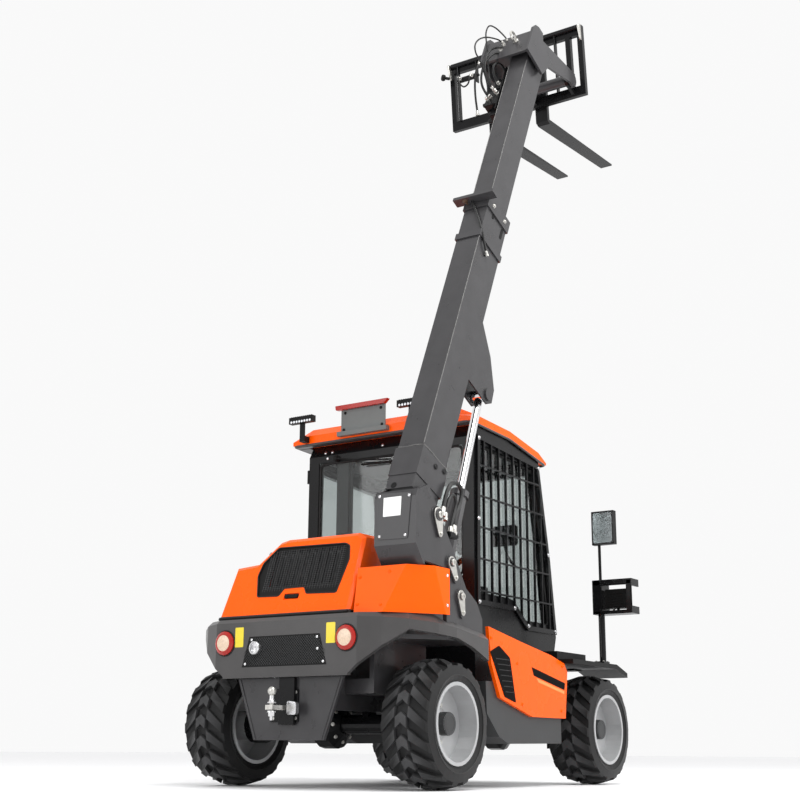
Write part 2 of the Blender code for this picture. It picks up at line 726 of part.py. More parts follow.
def tower():
    """Two cheeks over the right rear wheel, with the pins of the boom and its cylinders."""
    right = prism(cheek_outline(CHEEK_CORNER_SHARE), "y", CHEEK_RIGHT_Y, CHEEK_RIGHT_Y + CHEEK_THICKNESS)
    left = prism(cheek_outline(CHEEK_FOOT_SHARE), "y", CHEEK_LEFT_Y - CHEEK_THICKNESS, CHEEK_LEFT_Y)
    base = prism(tower_foot(-SEAT), "z", TOWER_BOTTOM_Z - SEAT / 2, TOWER_BOTTOM_Z + CHEEK_THICKNESS)
    parts = [left, base]
    pins = (
        (PIVOT_X, PIVOT_Z, PIN_RADIUS, FIRST_RETAINER_LEAN),
        (SECOND_PIN_X, SECOND_PIN_Z, SECOND_PIN_RADIUS, SECOND_RETAINER_LEAN),
        (LIFT_BASE_X, LIFT_BASE_Z, LIFT_PIN_RADIUS, THIRD_RETAINER_LEAN),
    )
    for x, z, radius, angle in pins:
        parts.append(rod((x, CHEEK_RIGHT_Y - RETAINER_THICKNESS * 2, z),
                         (x, CHEEK_LEFT_Y + RETAINER_THICKNESS, z), radius, PIN_SIDES))
        parts.append(retainer(x, z, CHEEK_RIGHT_Y, angle))
    keep("boom_tower", unite(right, *parts), GREY)
    tower_plate()


def tower_plate():
    """The plate over the tower's back, with its lip bent forward over the orange cover."""
    cheek = cheek_outline(CHEEK_FOOT_SHARE)
    wide = (CHEEK_RIGHT_Y, CHEEK_LEFT_Y)
    plate = prism(inset_outline(cheek, -SEAT - TOWER_PLATE_THICKNESS), "y", *wide)
    core = prism(inset_outline(cheek, -SEAT), "y", wide[0] - OVERRUN, wide[1] + OVERRUN)
    toe_x = cheek[9][0]
    y_pair = (wide[0] - OVERRUN, wide[1] + OVERRUN)
    margin = CHEEK_THICKNESS * 4
    x_pair = (TOWER_REAR_X - margin, TOWER_FRONT_X + margin)
    above = box(x_pair, y_pair, (TOWER_PLATE_TOP_Z, TOWER_TOP_Z + margin))
    ahead = box((toe_x, x_pair[1]), y_pair, (TOWER_BOTTOM_Z - margin, TOWER_TOP_Z))
    below = box(x_pair, y_pair, (TOWER_BOTTOM_Z - margin, COVER_TOP_Z + SEAT))
    keep("tower_rear_plate", cut(plate, core, above, ahead, below), GREY)


def tower_cover():
    """The orange cover round the tower's foot, creased at its corner, open at the front, below and above."""

    def ring(lean, corner_x, corner_y, z, inset, beyond):
        rear = COVER_REAR_X + lean + inset
        return [
            (COVER_FRONT_X + beyond, COVER_RIGHT_Y + inset, z), (corner_x + inset / 2, COVER_RIGHT_Y + inset, z),
            (rear, corner_y + inset / 2, z), (rear, COVER_LEFT_Y + beyond, z),
            (COVER_FRONT_X + beyond, COVER_LEFT_Y + beyond, z),
        ]

    def shell(inset, beyond):
        return loft([
            ring(0.0, COVER_FOOT_CORNER_X, COVER_FOOT_CORNER_Y, COVER_BOTTOM_Z - beyond, inset, beyond),
            ring(COVER_TOP_LEAN, COVER_TOP_CORNER_X, COVER_TOP_CORNER_Y, COVER_TOP_Z + beyond, inset, beyond),
        ])

    keep("tower_cover", cut(shell(0.0, 0.0), shell(COVER_WALL, OVERRUN)), ORANGE)


# Rear body plan shares, rear to front: length, half width, and the share of the edge's chamfer there
BODY_PLAN_SHARES = (
    (0.000, 0.58, 0.20), (0.075, 0.72, 0.24), (0.210, 0.85, 0.32), (0.400, 0.955, 0.45), (0.560, 1.00, 0.62),
    (1.000, 1.00, 1.00),
)


def body_plan(inset):
    """Outline of the rear body seen from above, with its rear corners drawn in towards the bumper."""
    length = BODY_FRONT_X - BODY_REAR_X
    right = [(BODY_REAR_X + length * x, -BODY_HALF_WIDTH * y) for x, y, edge in BODY_PLAN_SHARES]
    outline = inset_outline(right + [(x, -y) for x, y in reversed(right)], inset)
    return outline


def body_shell(inset, low, front):
    """A solid in the rear body's form, with a chamfer that widens over the fenders."""
    plan = body_plan(inset)
    drawn = body_plan(inset + BODY_EDGE)
    edges = [edge for x, y, edge in BODY_PLAN_SHARES]
    edges += edges[::-1]
    last = BODY_FRONT_X - inset
    rings = [[], [], []]
    for (x, y), (in_x, in_y), share in zip(plan, drawn, edges):
        ahead = x > last - BODY_WALL / 2
        x = front if ahead else x
        in_x = front if ahead else x + (in_x - x) * share
        rings[0].append((x, y, low))
        rings[1].append((x, y, BODY_TOP_Z - inset - BODY_EDGE * share))
        rings[2].append((in_x, y + (in_y - y) * share, BODY_TOP_Z - inset))
    return loft(rings)


def rear_body():
    """Bumper and both rear fenders as one shell, open over the engine and round the wheels."""
    shell = body_shell(0.0, BODY_BOTTOM_Z, BODY_FRONT_X)
    front = BODY_FRONT_X + OVERRUN
    tools = [body_shell(BODY_WALL, BODY_BOTTOM_Z - OVERRUN, front)]
    tools.append(box((BODY_REAR_X + BODY_WALL, front), (-BAY_HALF_WIDTH, BAY_HALF_WIDTH),
                     (BODY_BOTTOM_Z, BODY_TOP_Z + OVERRUN)))
    tools.append(prism(tower_foot(RETAINER_THICKNESS / 2), "z", BODY_BOTTOM_Z, BODY_TOP_Z + OVERRUN))
    tools.append(box((TOWER_REAR_X + COVER_WALL, front),
                     (CHEEK_LEFT_Y - CHEEK_THICKNESS * 2, -BAY_HALF_WIDTH + OVERRUN),
                     (BODY_BOTTOM_Z, BODY_TOP_Z + OVERRUN)))
    wide = BODY_HALF_WIDTH + OVERRUN
    lip_rear = BODY_REAR_X + (BODY_FRONT_X - BODY_REAR_X) * BODY_PLAN_SHARES[2][0]
    lip = [
        (lip_rear, BODY_BOTTOM_Z - OVERRUN), (lip_rear, LIP_BOTTOM_Z), (0.0, LIP_MIDDLE_Z + OVERRUN),
        (BODY_FRONT_X / 2, LIP_MIDDLE_Z - OVERRUN), (front, LIP_FRONT_Z), (front, BODY_BOTTOM_Z - OVERRUN),
    ]
    rise = BODY_HALF_WIDTH * BODY_PLAN_SHARES[2][1]
    for side in (1, -1):
        tools.append(prism(lip, "y", side * BUMPER_BOTTOM_HALF, side * wide))
        corner = [
            (side * BUMPER_BOTTOM_HALF, BODY_BOTTOM_Z - OVERRUN),
            (side * BUMPER_BOTTOM_HALF, BODY_BOTTOM_Z + OVERRUN / 2), (side * rise, LIP_BOTTOM_Z),
            (side * wide, LIP_BOTTOM_Z), (side * wide, BODY_BOTTOM_Z - OVERRUN),
        ]
        tools.append(prism(corner, "x", BODY_REAR_X - OVERRUN, lip_rear + OVERRUN))
    middle_z = (GRILLE_BOTTOM_Z + GRILLE_TOP_Z) / 2
    recess = prism(grille_outline(SEAT), "x", BODY_REAR_X - OVERRUN, BODY_REAR_X + GRILLE_DEPTH)
    window = box((BODY_REAR_X - OVERRUN, BODY_REAR_X + BODY_WALL + OVERRUN),
                 (-GRILLE_TOP_HALF + GRILLE_DEPTH * 2, GRILLE_TOP_HALF - GRILLE_DEPTH * 2),
                 (GRILLE_BOTTOM_Z + GRILLE_DEPTH * 2, 2 * middle_z - GRILLE_BOTTOM_Z - GRILLE_DEPTH * 2))
    tools += [recess, window]
    for side in (1, -1):
        tools.append(rod((BODY_REAR_X - OVERRUN, side * TAIL_LAMP_Y, TAIL_LAMP_Z),
                         (BODY_REAR_X + TAIL_LAMP_DEPTH / 2, side * TAIL_LAMP_Y, TAIL_LAMP_Z),
                         TAIL_LAMP_RADIUS + SEAT * 2))
    rim_z = (BODY_TOP_Z - BODY_WALL / 2, HOOD_BOTTOM_Z - SEAT)
    rear_rim = box((HOOD_REAR_X, HOOD_REAR_X + HOOD_WALL), (HOOD_RIGHT_Y, HOOD_LEFT_Y - HOOD_WALL), rim_z)
    side_rim = box((HOOD_REAR_X + HOOD_WALL / 2, BODY_FRONT_X - OVERRUN),
                   (HOOD_LEFT_Y - HOOD_WALL * 3, HOOD_LEFT_Y - HOOD_WALL / 2), rim_z)
    keep("rear_body", unite(cut(shell, *tools), rear_rim, side_rim), GREY)


def grille_outline(margin):
    """The bumper grille's trapezoid, grown by a margin."""
    return [
        (-GRILLE_BOTTOM_HALF - margin, GRILLE_BOTTOM_Z - margin),
        (GRILLE_BOTTOM_HALF + margin, GRILLE_BOTTOM_Z - margin),
        (GRILLE_TOP_HALF + margin, GRILLE_TOP_Z + margin),
        (-GRILLE_TOP_HALF - margin, GRILLE_TOP_Z + margin),
    ]


def rear_details():
    """Bumper grille, tail lamps, hitch plate and ball coupling."""
    keep("rear_grille", prism(grille_outline(0.0), "x", BODY_REAR_X, BODY_REAR_X + GRILLE_DEPTH - SEAT), BLACK)
    for hand, side in (("left", 1), ("right", -1)):
        back = BODY_REAR_X + TAIL_LAMP_DEPTH / 2 - SEAT
        rim = TAIL_LAMP_RADIUS
        lamp = turned([
            (0, 0), (rim, 0), (rim, TAIL_LAMP_DEPTH * 3 / 4), (rim * 4 / 5, TAIL_LAMP_DEPTH),
            (rim / 2, TAIL_LAMP_DEPTH), (rim / 2, TAIL_LAMP_DEPTH * 3 / 4), (0, TAIL_LAMP_DEPTH * 7 / 8),
        ], (back, side * TAIL_LAMP_Y, TAIL_LAMP_Z), (-1, 0, 0))
        keep("tail_lamp_" + hand, lamp, RED)
    outline = [
        (-HITCH_TOP_HALF, HITCH_TOP_Z - SEAT), (HITCH_TOP_HALF, HITCH_TOP_Z - SEAT),
        (HITCH_BOTTOM_HALF, HITCH_BOTTOM_Z), (-HITCH_BOTTOM_HALF, HITCH_BOTTOM_Z),
    ]
    plate = prism(outline, "x", HITCH_FACE_X, HITCH_FACE_X + HITCH_THICKNESS)
    webs = [
        box((HITCH_FACE_X + HITCH_THICKNESS / 2, CHASSIS_REAR_X - SEAT),
            (side * CHASSIS_HALF_WIDTH, side * (CHASSIS_HALF_WIDTH - HITCH_THICKNESS)),
            (CHASSIS_BOTTOM_Z, CHASSIS_TOP_Z))
        for side in (1, -1)
    ]
    keep("hitch_plate", unite(plate, *webs), GREY)
    face = HITCH_FACE_X - SEAT
    back = box((face - HITCH_THICKNESS, face), (-BALL_RADIUS * 2, BALL_RADIUS * 2),
               (BALL_Z - BALL_RADIUS * 7, BALL_Z + BALL_RADIUS * 3))
    tongue = box((BALL_X - BALL_RADIUS, face - HITCH_THICKNESS / 2), (-BALL_RADIUS, BALL_RADIUS),
                 (BALL_Z - BALL_RADIUS * 4, BALL_Z - BALL_RADIUS * 3))
    neck = rod((BALL_X, 0, BALL_Z - BALL_RADIUS * 7 / 2), (BALL_X, 0, BALL_Z), BALL_RADIUS / 2)
    ball_profile = [
        (BALL_RADIUS * math.sin(math.pi * step / 8), -BALL_RADIUS * math.cos(math.pi * step / 8))
        for step in range(1, 8)
    ]
    ball = turned([(0, -BALL_RADIUS)] + ball_profile + [(0, BALL_RADIUS)], (BALL_X, 0, BALL_Z), (0, 0, 1))
    keep("tow_hitch", unite(back, tongue, neck, ball), ZINC)


# Hood section shares across the machine, from the bottom right corner: width from right to left, height
HOOD_SHARES = (
    (0.00, 0.00), (1.00, 0.00), (0.965, 0.66), (0.80, 0.69), (0.66, 0.97), (0.60, 1.00), (0.06, 1.00), (0.00, 0.93),
)
HOOD_WINDOW_SHARES = (
    (0.746, 0.696), (0.653, 0.893), (0.138, 0.873), (0.101, 0.836), (0.081, 0.656), (0.122, 0.227), (0.347, 0.242),
    (0.374, 0.333), (0.529, 0.329), (0.560, 0.231), (0.727, 0.240), (0.766, 0.529),
)
LATCH_SHARES = ((0.400, 0.178), (0.516, 0.178), (0.516, 0.256), (0.400, 0.256))
MESH_SHARES = ((0.160, 0.370), (0.690, 0.840))
MESH_SLOTS = 9
HOOD_SLOPE_SHARE = 0.355
HOOD_EDGE = 0.018
HOOD_HINGE_X = 0.640


def hood_outline(shares):
    """Places across and up of hood outline shares."""
    return spread(shares, (HOOD_RIGHT_Y, HOOD_LEFT_Y), (HOOD_BOTTOM_Z, HOOD_TOP_Z))


def hood_face(z):
    """Place along the machine of the hood's sloping rear face at a height."""
    return HOOD_REAR_X + HOOD_SLOPE_SHARE * (z - HOOD_BOTTOM_Z)


def hood_shell(inset, beyond):
    """A solid in the hood's form: a softened sloping rear face drawn out to the cab."""
    outline = inset_outline(hood_outline(HOOD_SHARES), inset)
    drawn = inset_outline(hood_outline(HOOD_SHARES), inset + HOOD_EDGE)
    rings = [[], [], []]
    for index, ((y, z), (in_y, in_z)) in enumerate(zip(outline, drawn)):
        if index < 2:
            z = HOOD_BOTTOM_Z - beyond
            in_z = z
        rings[0].append((hood_face(in_z) + inset, in_y, in_z))
        rings[1].append((hood_face(z) + inset + HOOD_EDGE, y, z))
        rings[2].append((HOOD_FRONT_X + beyond, y, z))
    return loft(rings)


def hood():
    """The engine cover, hinged at the cab: a shell with a grille in its rear face and a latch recess."""
    height = HOOD_TOP_Z - HOOD_BOTTOM_Z
    length = HOOD_FRONT_X - HOOD_REAR_X
    cover = cut(hood_shell(0.0, 0.0), hood_shell(HOOD_WALL, OVERRUN))
    front_cut = prism([
        (HOOD_FRONT_X + OVERRUN, HOOD_BOTTOM_Z - OVERRUN), (HOOD_FRONT_X - length / 4, HOOD_BOTTOM_Z - OVERRUN),
        (HOOD_FRONT_X - length / 50, HOOD_TOP_Z - height / 6), (HOOD_FRONT_X + OVERRUN, HOOD_TOP_Z - height / 6),
    ], "y", HOOD_RIGHT_Y - OVERRUN, HOOD_LEFT_Y + OVERRUN)
    rear_limit = hood_face(HOOD_TOP_Z) + HOOD_WALL * 2
    window = prism(hood_outline(HOOD_WINDOW_SHARES), "x", HOOD_REAR_X - OVERRUN, rear_limit)
    latch_outline = hood_outline(LATCH_SHARES)
    latch = loft([
        [(hood_face(z) - OVERRUN, y, z) for y, z in latch_outline],
        [(hood_face(z) + HOOD_WALL / 2, y, z) for y, z in latch_outline],
    ])
    hinge = (HOOD_HINGE_X, 0, HOOD_TOP_Z)
    keep("engine_hood", about(cut(cover, front_cut, window, latch), hinge), ORANGE, hinge)
    panel_outline = inset_outline(hood_outline(HOOD_WINDOW_SHARES), SEAT)
    panel = loft([
        [(hood_face(z) + HOOD_WALL / 4, y, z) for y, z in panel_outline],
        [(hood_face(z) + HOOD_WALL * 3 / 4, y, z) for y, z in panel_outline],
    ])
    (low_y, low_z), (high_y, high_z) = hood_outline(MESH_SHARES)
    pitch = (high_y - low_y) / MESH_SLOTS
    slots = [
        box((HOOD_REAR_X, rear_limit), (low_y + pitch * slot, low_y + pitch * slot + pitch * 2 / 3), (low_z, high_z))
        for slot in range(MESH_SLOTS)
    ]
    keep("hood_grille", about(cut(panel, *slots), hinge), BLACK, hinge)


def engine():
    """The engine as one plain block between the rails."""
    block = box((ENGINE_REAR_X, ENGINE_REAR_X + ENGINE_LENGTH), (-ENGINE_WIDTH / 2, ENGINE_WIDTH / 2),
                (CHASSIS_TOP_Z + SEAT, CHASSIS_TOP_Z + ENGINE_HEIGHT))
    sump = box((ENGINE_REAR_X + ENGINE_LENGTH / 4, ENGINE_REAR_X + ENGINE_LENGTH * 3 / 4),
               (-CHASSIS_HALF_WIDTH + RAIL_WIDTH * 3 / 2, CHASSIS_HALF_WIDTH - RAIL_WIDTH * 3 / 2),
               (ENGINE_BOTTOM_Z, CHASSIS_TOP_Z + OVERRUN))
    feet = [
        box((ENGINE_REAR_X, ENGINE_REAR_X + ENGINE_LENGTH), (side * ENGINE_WIDTH / 3, side * CHASSIS_HALF_WIDTH),
            (CHASSIS_TOP_Z + SEAT, CHASSIS_TOP_Z + RAIL_WIDTH))
        for side in (1, -1)
    ]
    keep("engine_block", unite(block, sump, *feet), GREY)


# Right panel outline shares over its length and height
PANEL_SHARES = (
    (0.00, 1.00), (0.38, 0.88), (0.79, 0.76), (0.96, 0.68), (1.00, 0.58), (0.96, 0.00),
    (0.52, 0.00), (0.13, 0.20), (0.03, 0.58),
)
SKIRT_SHARES = (
    (0.00, 1.00), (0.01, 0.48), (0.16, 0.11), (0.28, 0.00), (1.00, 0.02), (1.00, 1.00),
)


def sides():
    """The pods under the cab: tank and step on the left, oil tank on the right with its panel."""
    pod_outline = spread(SKIRT_SHARES, (SIDE_REAR_X, SKIRT_FRONT_X), (SKIRT_BOTTOM_Z, CAB_FLOOR_Z - SEAT))
    outer = SIDE_OUTER_Y - SIDE_PANEL - SEAT
    inner = CHASSIS_HALF_WIDTH + SEAT
    keep("side_box_right", prism(pod_outline, "y", -inner, -outer), GREY)
    left = prism(pod_outline, "y", inner, SIDE_OUTER_Y)
    middle = (SIDE_REAR_X + SKIRT_FRONT_X) / 2
    third = (CAB_FLOOR_Z - SKIRT_BOTTOM_Z) / 3
    step = box((middle - STEP_DEPTH, SKIRT_FRONT_X - STEP_DEPTH), (SIDE_OUTER_Y - STEP_DEPTH, SIDE_OUTER_Y + OVERRUN),
               (SKIRT_BOTTOM_Z + third, CAB_FLOOR_Z - SIDE_PANEL))
    keep("side_box_left", cut(left, step), GREY)
    panel = prism(spread(PANEL_SHARES, (SIDE_REAR_X, SIDE_FRONT_X), (SIDE_BOTTOM_Z, SIDE_TOP_Z)), "y",
                  -SIDE_OUTER_Y, -SIDE_OUTER_Y + SIDE_PANEL)
    keep("side_panel_right", panel, ORANGE)


def front_fenders():
    """Flat front fenders; the right one carries a small deck box."""
    length = FENDER_FRONT_X - FENDER_REAR_X
    knee = FENDER_FRONT_X - length / 5
    outline = [
        (FENDER_REAR_X, FENDER_TOP_Z), (knee, FENDER_TOP_Z), (FENDER_FRONT_X, FENDER_TOP_Z - FENDER_DROP),
        (FENDER_FRONT_X, FENDER_TOP_Z - FENDER_DROP - FENDER_THICKNESS), (knee, FENDER_TOP_Z - FENDER_THICKNESS),
        (FENDER_REAR_X, FENDER_TOP_Z - FENDER_THICKNESS),
    ]
    for hand, side in (("left", 1), ("right", -1)):
        fender = prism(outline, "y", side * FENDER_INNER_Y, side * FENDER_OUTER_Y)
        arm = box((WHEELBASE - RAIL_WIDTH, WHEELBASE + RAIL_WIDTH), (side * CHASSIS_HALF_WIDTH / 2,
                  side * (FENDER_INNER_Y + RAIL_WIDTH)),
                  (FENDER_TOP_Z - FENDER_THICKNESS - BELLY_THICKNESS, FENDER_TOP_Z - FENDER_THICKNESS / 2))
        leg = box((WHEELBASE - RAIL_WIDTH, WHEELBASE + RAIL_WIDTH),
                  (side * (CHASSIS_HALF_WIDTH - RAIL_WIDTH), side * CHASSIS_HALF_WIDTH),
                  (CHASSIS_TOP_Z + SEAT, FENDER_TOP_Z - FENDER_THICKNESS / 2))
        tools = [arm, leg]
        if side < 0:
            tools.append(box((DECK_BOX_REAR_X, DECK_BOX_REAR_X + DECK_BOX_LENGTH),
                             (-FENDER_INNER_Y - OVERRUN, -FENDER_INNER_Y - OVERRUN - DECK_BOX_WIDTH),
                             (FENDER_TOP_Z - FENDER_THICKNESS / 2, FENDER_TOP_Z + DECK_BOX_HEIGHT)))
        keep("front_fender_" + hand, unite(fender, *tools), BLACK)


def mirror_and_lamp():
    """The post on the right front fender with its guarded work lamp and the mirror above."""
    foot = FENDER_TOP_Z + SEAT
    base = box((POST_X - POST_RADIUS * 2, POST_X + POST_RADIUS * 2), (POST_Y - POST_RADIUS * 5 / 4, POST_Y + POST_RADIUS * 2),
               (foot, foot + LAMP_GUARD))
    post = rod((POST_X, POST_Y, foot), (POST_X, POST_Y, POST_TOP_Z), POST_RADIUS, PIN_SIDES)
    stalk = rod((POST_X, POST_Y, POST_TOP_Z - POST_RADIUS), (POST_X, POST_Y, MIRROR_TOP_Z - POST_RADIUS),
                STALK_RADIUS, PIN_SIDES)
    outer = box((POST_X - LAMP_GUARD_DEPTH / 2, POST_X + LAMP_GUARD_DEPTH / 2), (LAMP_INNER_Y, LAMP_OUTER_Y),
                (LAMP_BOTTOM_Z, LAMP_TOP_Z))
    opening = box((POST_X - LAMP_GUARD_DEPTH, POST_X + LAMP_GUARD_DEPTH),
                  (POST_Y - POST_RADIUS - LAMP_GUARD, LAMP_OUTER_Y + LAMP_GUARD),
                  (LAMP_BOTTOM_Z + LAMP_GUARD, LAMP_TOP_Z - LAMP_GUARD))
    side_gap = box((POST_X - LAMP_GUARD_DEPTH, POST_X + LAMP_GUARD_DEPTH),
                   (LAMP_OUTER_Y - OVERRUN, LAMP_OUTER_Y + LAMP_GUARD * 2),
                   (LAMP_BOTTOM_Z + LAMP_GUARD * 4, LAMP_TOP_Z - LAMP_GUARD * 4))
    guard = cut(outer, opening, side_gap)
    keep("mirror_post", unite(post, base, stalk, guard), BLACK)
    lamp_y = (POST_Y + LAMP_OUTER_Y) / 2
    lamp_z = LAMP_BOTTOM_Z + LAMP_GUARD + SEAT
    half = (LAMP_TOP_Z - LAMP_BOTTOM_Z) / 3
    lamp = box((POST_X - LAMP_GUARD_DEPTH / 3, POST_X + LAMP_GUARD_DEPTH / 3), (lamp_y - half, lamp_y + half),
               (lamp_z + half / 3, lamp_z + half * 2))
    foot_pin = rod((POST_X, lamp_y, lamp_z), (POST_X, lamp_y, lamp_z + half / 2), STALK_RADIUS, PIN_SIDES)
    keep("front_work_lamp", unite(lamp, foot_pin), BLACK)
    mirror_y = (MIRROR_INNER_Y + MIRROR_OUTER_Y) / 2
    head = box((POST_X - MIRROR_DEPTH - STALK_RADIUS - SEAT, POST_X - STALK_RADIUS - SEAT),
               (MIRROR_INNER_Y, MIRROR_OUTER_Y), (MIRROR_BOTTOM_Z, MIRROR_TOP_Z))
    keep("door_mirror", head, BLACK)


# Cab side outline shares over its length and height
CAB_SHARES = (
    (0.00, 0.00), (0.50, 0.00), (0.57, 0.121), (0.955, 0.121), (1.00, 0.218), (0.93, 0.533), (0.81, 0.945),
    (0.42, 0.990), (0.04, 1.00), (0.00, 0.95),
)
RIGHT_WINDOW_SHARES = (
    (0.05, 0.339), (0.46, 0.339), (0.62, 0.262), (0.94, 0.262), (0.88, 0.533), (0.77, 0.900), (0.06, 0.930),
)
DOOR_SHARES = (
    (0.04, 0.034), (0.50, 0.034), (0.57, 0.150), (0.95, 0.233), (0.885, 0.543), (0.79, 0.900), (0.06, 0.930),
)
GUARD_SHARES = (
    (0.015, 0.296), (0.46, 0.296), (0.61, 0.228), (0.985, 0.228), (0.915, 0.533), (0.79, 0.925), (0.03, 0.960),
)
SILL_SHARE = 0.407
HEADER_SHARE = 0.080
SHIN_SHARE = 0.262
FRONT_HEADER_SHARE = 0.035


def cab_outline(shares):
    """A side outline of the cab from its shares."""
    return spread(shares, (CAB_REAR_X, CAB_FRONT_X), (CAB_FLOOR_Z, CAB_TOP_Z))


def inset_outline(outline, inset):
    """An outline moved inward by a fixed distance at each corner."""
    count = len(outline)
    area = sum(outline[i][0] * outline[(i + 1) % count][1] - outline[(i + 1) % count][0] * outline[i][1]
               for i in range(count))
    hand = 1 if area > 0 else -1
    result = []
    for index, point in enumerate(outline):
        here = Vector(point)
        before = (here - Vector(outline[index - 1])).normalized()
        after = (Vector(outline[(index + 1) % count]) - here).normalized()
        normal_before = Vector((-before.y, before.x)) * hand
        normal_after = Vector((-after.y, after.x)) * hand
        middle = (normal_before + normal_after).normalized()
        result.append(tuple(here + middle * inset / max(middle.dot(normal_after), 0.3)))
    return result


def cab():
    """The cab frame with its windows cut, the roof, the panes, the side guard and the door."""
    outline = cab_outline(CAB_SHARES)
    frame = prism(outline, "y", CAB_RIGHT_Y, CAB_LEFT_Y)
    room = prism(inset_outline(outline, CAB_POST), "y", CAB_RIGHT_Y + CAB_POST, CAB_LEFT_Y - CAB_POST)
    right_window = prism(cab_outline(RIGHT_WINDOW_SHARES), "y", CAB_RIGHT_Y - OVERRUN, CAB_RIGHT_Y + CAB_POST * 2)
    door_hole = prism(inset_outline(cab_outline(DOOR_SHARES), DOOR_THICKNESS), "y",
                      CAB_LEFT_Y - CAB_POST * 2, CAB_LEFT_Y + OVERRUN)
    door_rebate = prism(inset_outline(cab_outline(DOOR_SHARES), -SEAT * 4), "y",
                        CAB_LEFT_Y - DOOR_THICKNESS / 2, CAB_LEFT_Y + OVERRUN)
    height = CAB_TOP_Z - CAB_FLOOR_Z
    sill = CAB_FLOOR_Z + height * SILL_SHARE
    header = CAB_TOP_Z - height * HEADER_SHARE
    inside = (CAB_RIGHT_Y + CAB_POST * 3 / 2, CAB_LEFT_Y - CAB_POST * 3 / 2)
    rear_hole = box((CAB_REAR_X - OVERRUN, CAB_REAR_X + CAB_POST * 3), inside, (sill, header))
    shin = CAB_FLOOR_Z + height * SHIN_SHARE
    front_hole = box((CAB_FRONT_X - CAB_POST * 6, CAB_FRONT_X + OVERRUN), inside, (shin, header - height * FRONT_HEADER_SHARE))
    roof_hole = box((CAB_REAR_X + CAB_POST * 3, CAB_REAR_X + (CAB_FRONT_X - CAB_REAR_X) * 0.7), inside,
                    (CAB_TOP_Z - CAB_POST * 4, CAB_TOP_Z + OVERRUN))
    keep("cab_frame", cut(frame, room, right_window, door_hole, door_rebate, rear_hole, front_hole, roof_hole),
         BLACK)
    cab_roof()
    cab_glass(inside, sill, header, shin)
    window_guard()
    cab_door()
    cab_inside()


def roof_height(x):
    """Underside of the roof at a place along the cab: it follows the frame's top on both sides of its bend."""
    high, bend, low = [Vector(point) for point in cab_outline((CAB_SHARES[8], CAB_SHARES[7], CAB_SHARES[6]))]
    first, second = (high, bend) if x < bend.x else (bend, low)
    return first.y + SEAT + (second.y - first.y) * (x - first.x) / (second.x - first.x)


def cab_roof():
    """A moulded roof with a bend across and thinner edges, which overhangs the door side."""
    bend = cab_outline((CAB_SHARES[7],))[0][0]
    rings = []
    for y, share in (
        (ROOF_RIGHT_Y, ROOF_EDGE_SHARE), (ROOF_RIGHT_Y + ROOF_CROWN, 1.0), (ROOF_LEFT_Y - ROOF_CROWN, 1.0),
        (ROOF_LEFT_Y, ROOF_EDGE_SHARE),
    ):
        thick = ROOF_THICKNESS * share
        outline = [(x, roof_height(x)) for x in (ROOF_REAR_X, bend, ROOF_FRONT_X)]
        outline += [
            (ROOF_FRONT_X, roof_height(ROOF_FRONT_X) + thick / 3),
            (ROOF_FRONT_X - ROOF_THICKNESS, roof_height(ROOF_FRONT_X - ROOF_THICKNESS) + thick),
            (bend, roof_height(bend) + thick), (ROOF_REAR_X + ROOF_THICKNESS / 2, roof_height(ROOF_REAR_X) + thick),
            (ROOF_REAR_X, roof_height(ROOF_REAR_X) + thick / 2),
        ]
        rings.append([(x, y, z) for x, z in outline])
    keep("cab_roof", loft(rings), ORANGE)


def cab_glass(inside, sill, header, shin):
    """Rear, front and right panes, each set into its opening."""
    rear = box((CAB_REAR_X + CAB_POST / 4, CAB_REAR_X + CAB_POST / 4 + GLASS_THICKNESS),
               (inside[0] + SEAT, inside[1] - SEAT), (sill + SEAT, header - SEAT))
    keep("rear_window", rear, GLASS)
    right = prism(inset_outline(cab_outline(RIGHT_WINDOW_SHARES), SEAT), "y",
                  CAB_RIGHT_Y + CAB_POST / 2, CAB_RIGHT_Y + CAB_POST / 2 + GLASS_THICKNESS)
    keep("right_window", right, GLASS)
    outline = cab_outline(CAB_SHARES)
    low = Vector(outline[4])
    bend = Vector(outline[5])
    high = Vector(outline[6])
    depth = CAB_POST / 3

    def face(z):
        first, second = (low, bend) if z < bend.y else (bend, high)
        return first.x + (second.x - first.x) * (z - first.y) / (second.y - first.y)

    top = header - (CAB_TOP_Z - CAB_FLOOR_Z) * FRONT_HEADER_SHARE - SEAT
    levels = (shin + SEAT, bend.y, top)
    front = [(face(z) - depth, z) for z in levels] + [(face(z) - depth - GLASS_THICKNESS, z)
                                                    for z in reversed(levels)]
    keep("windscreen", prism(front, "y", inside[0] + SEAT, inside[1] - SEAT), GLASS)


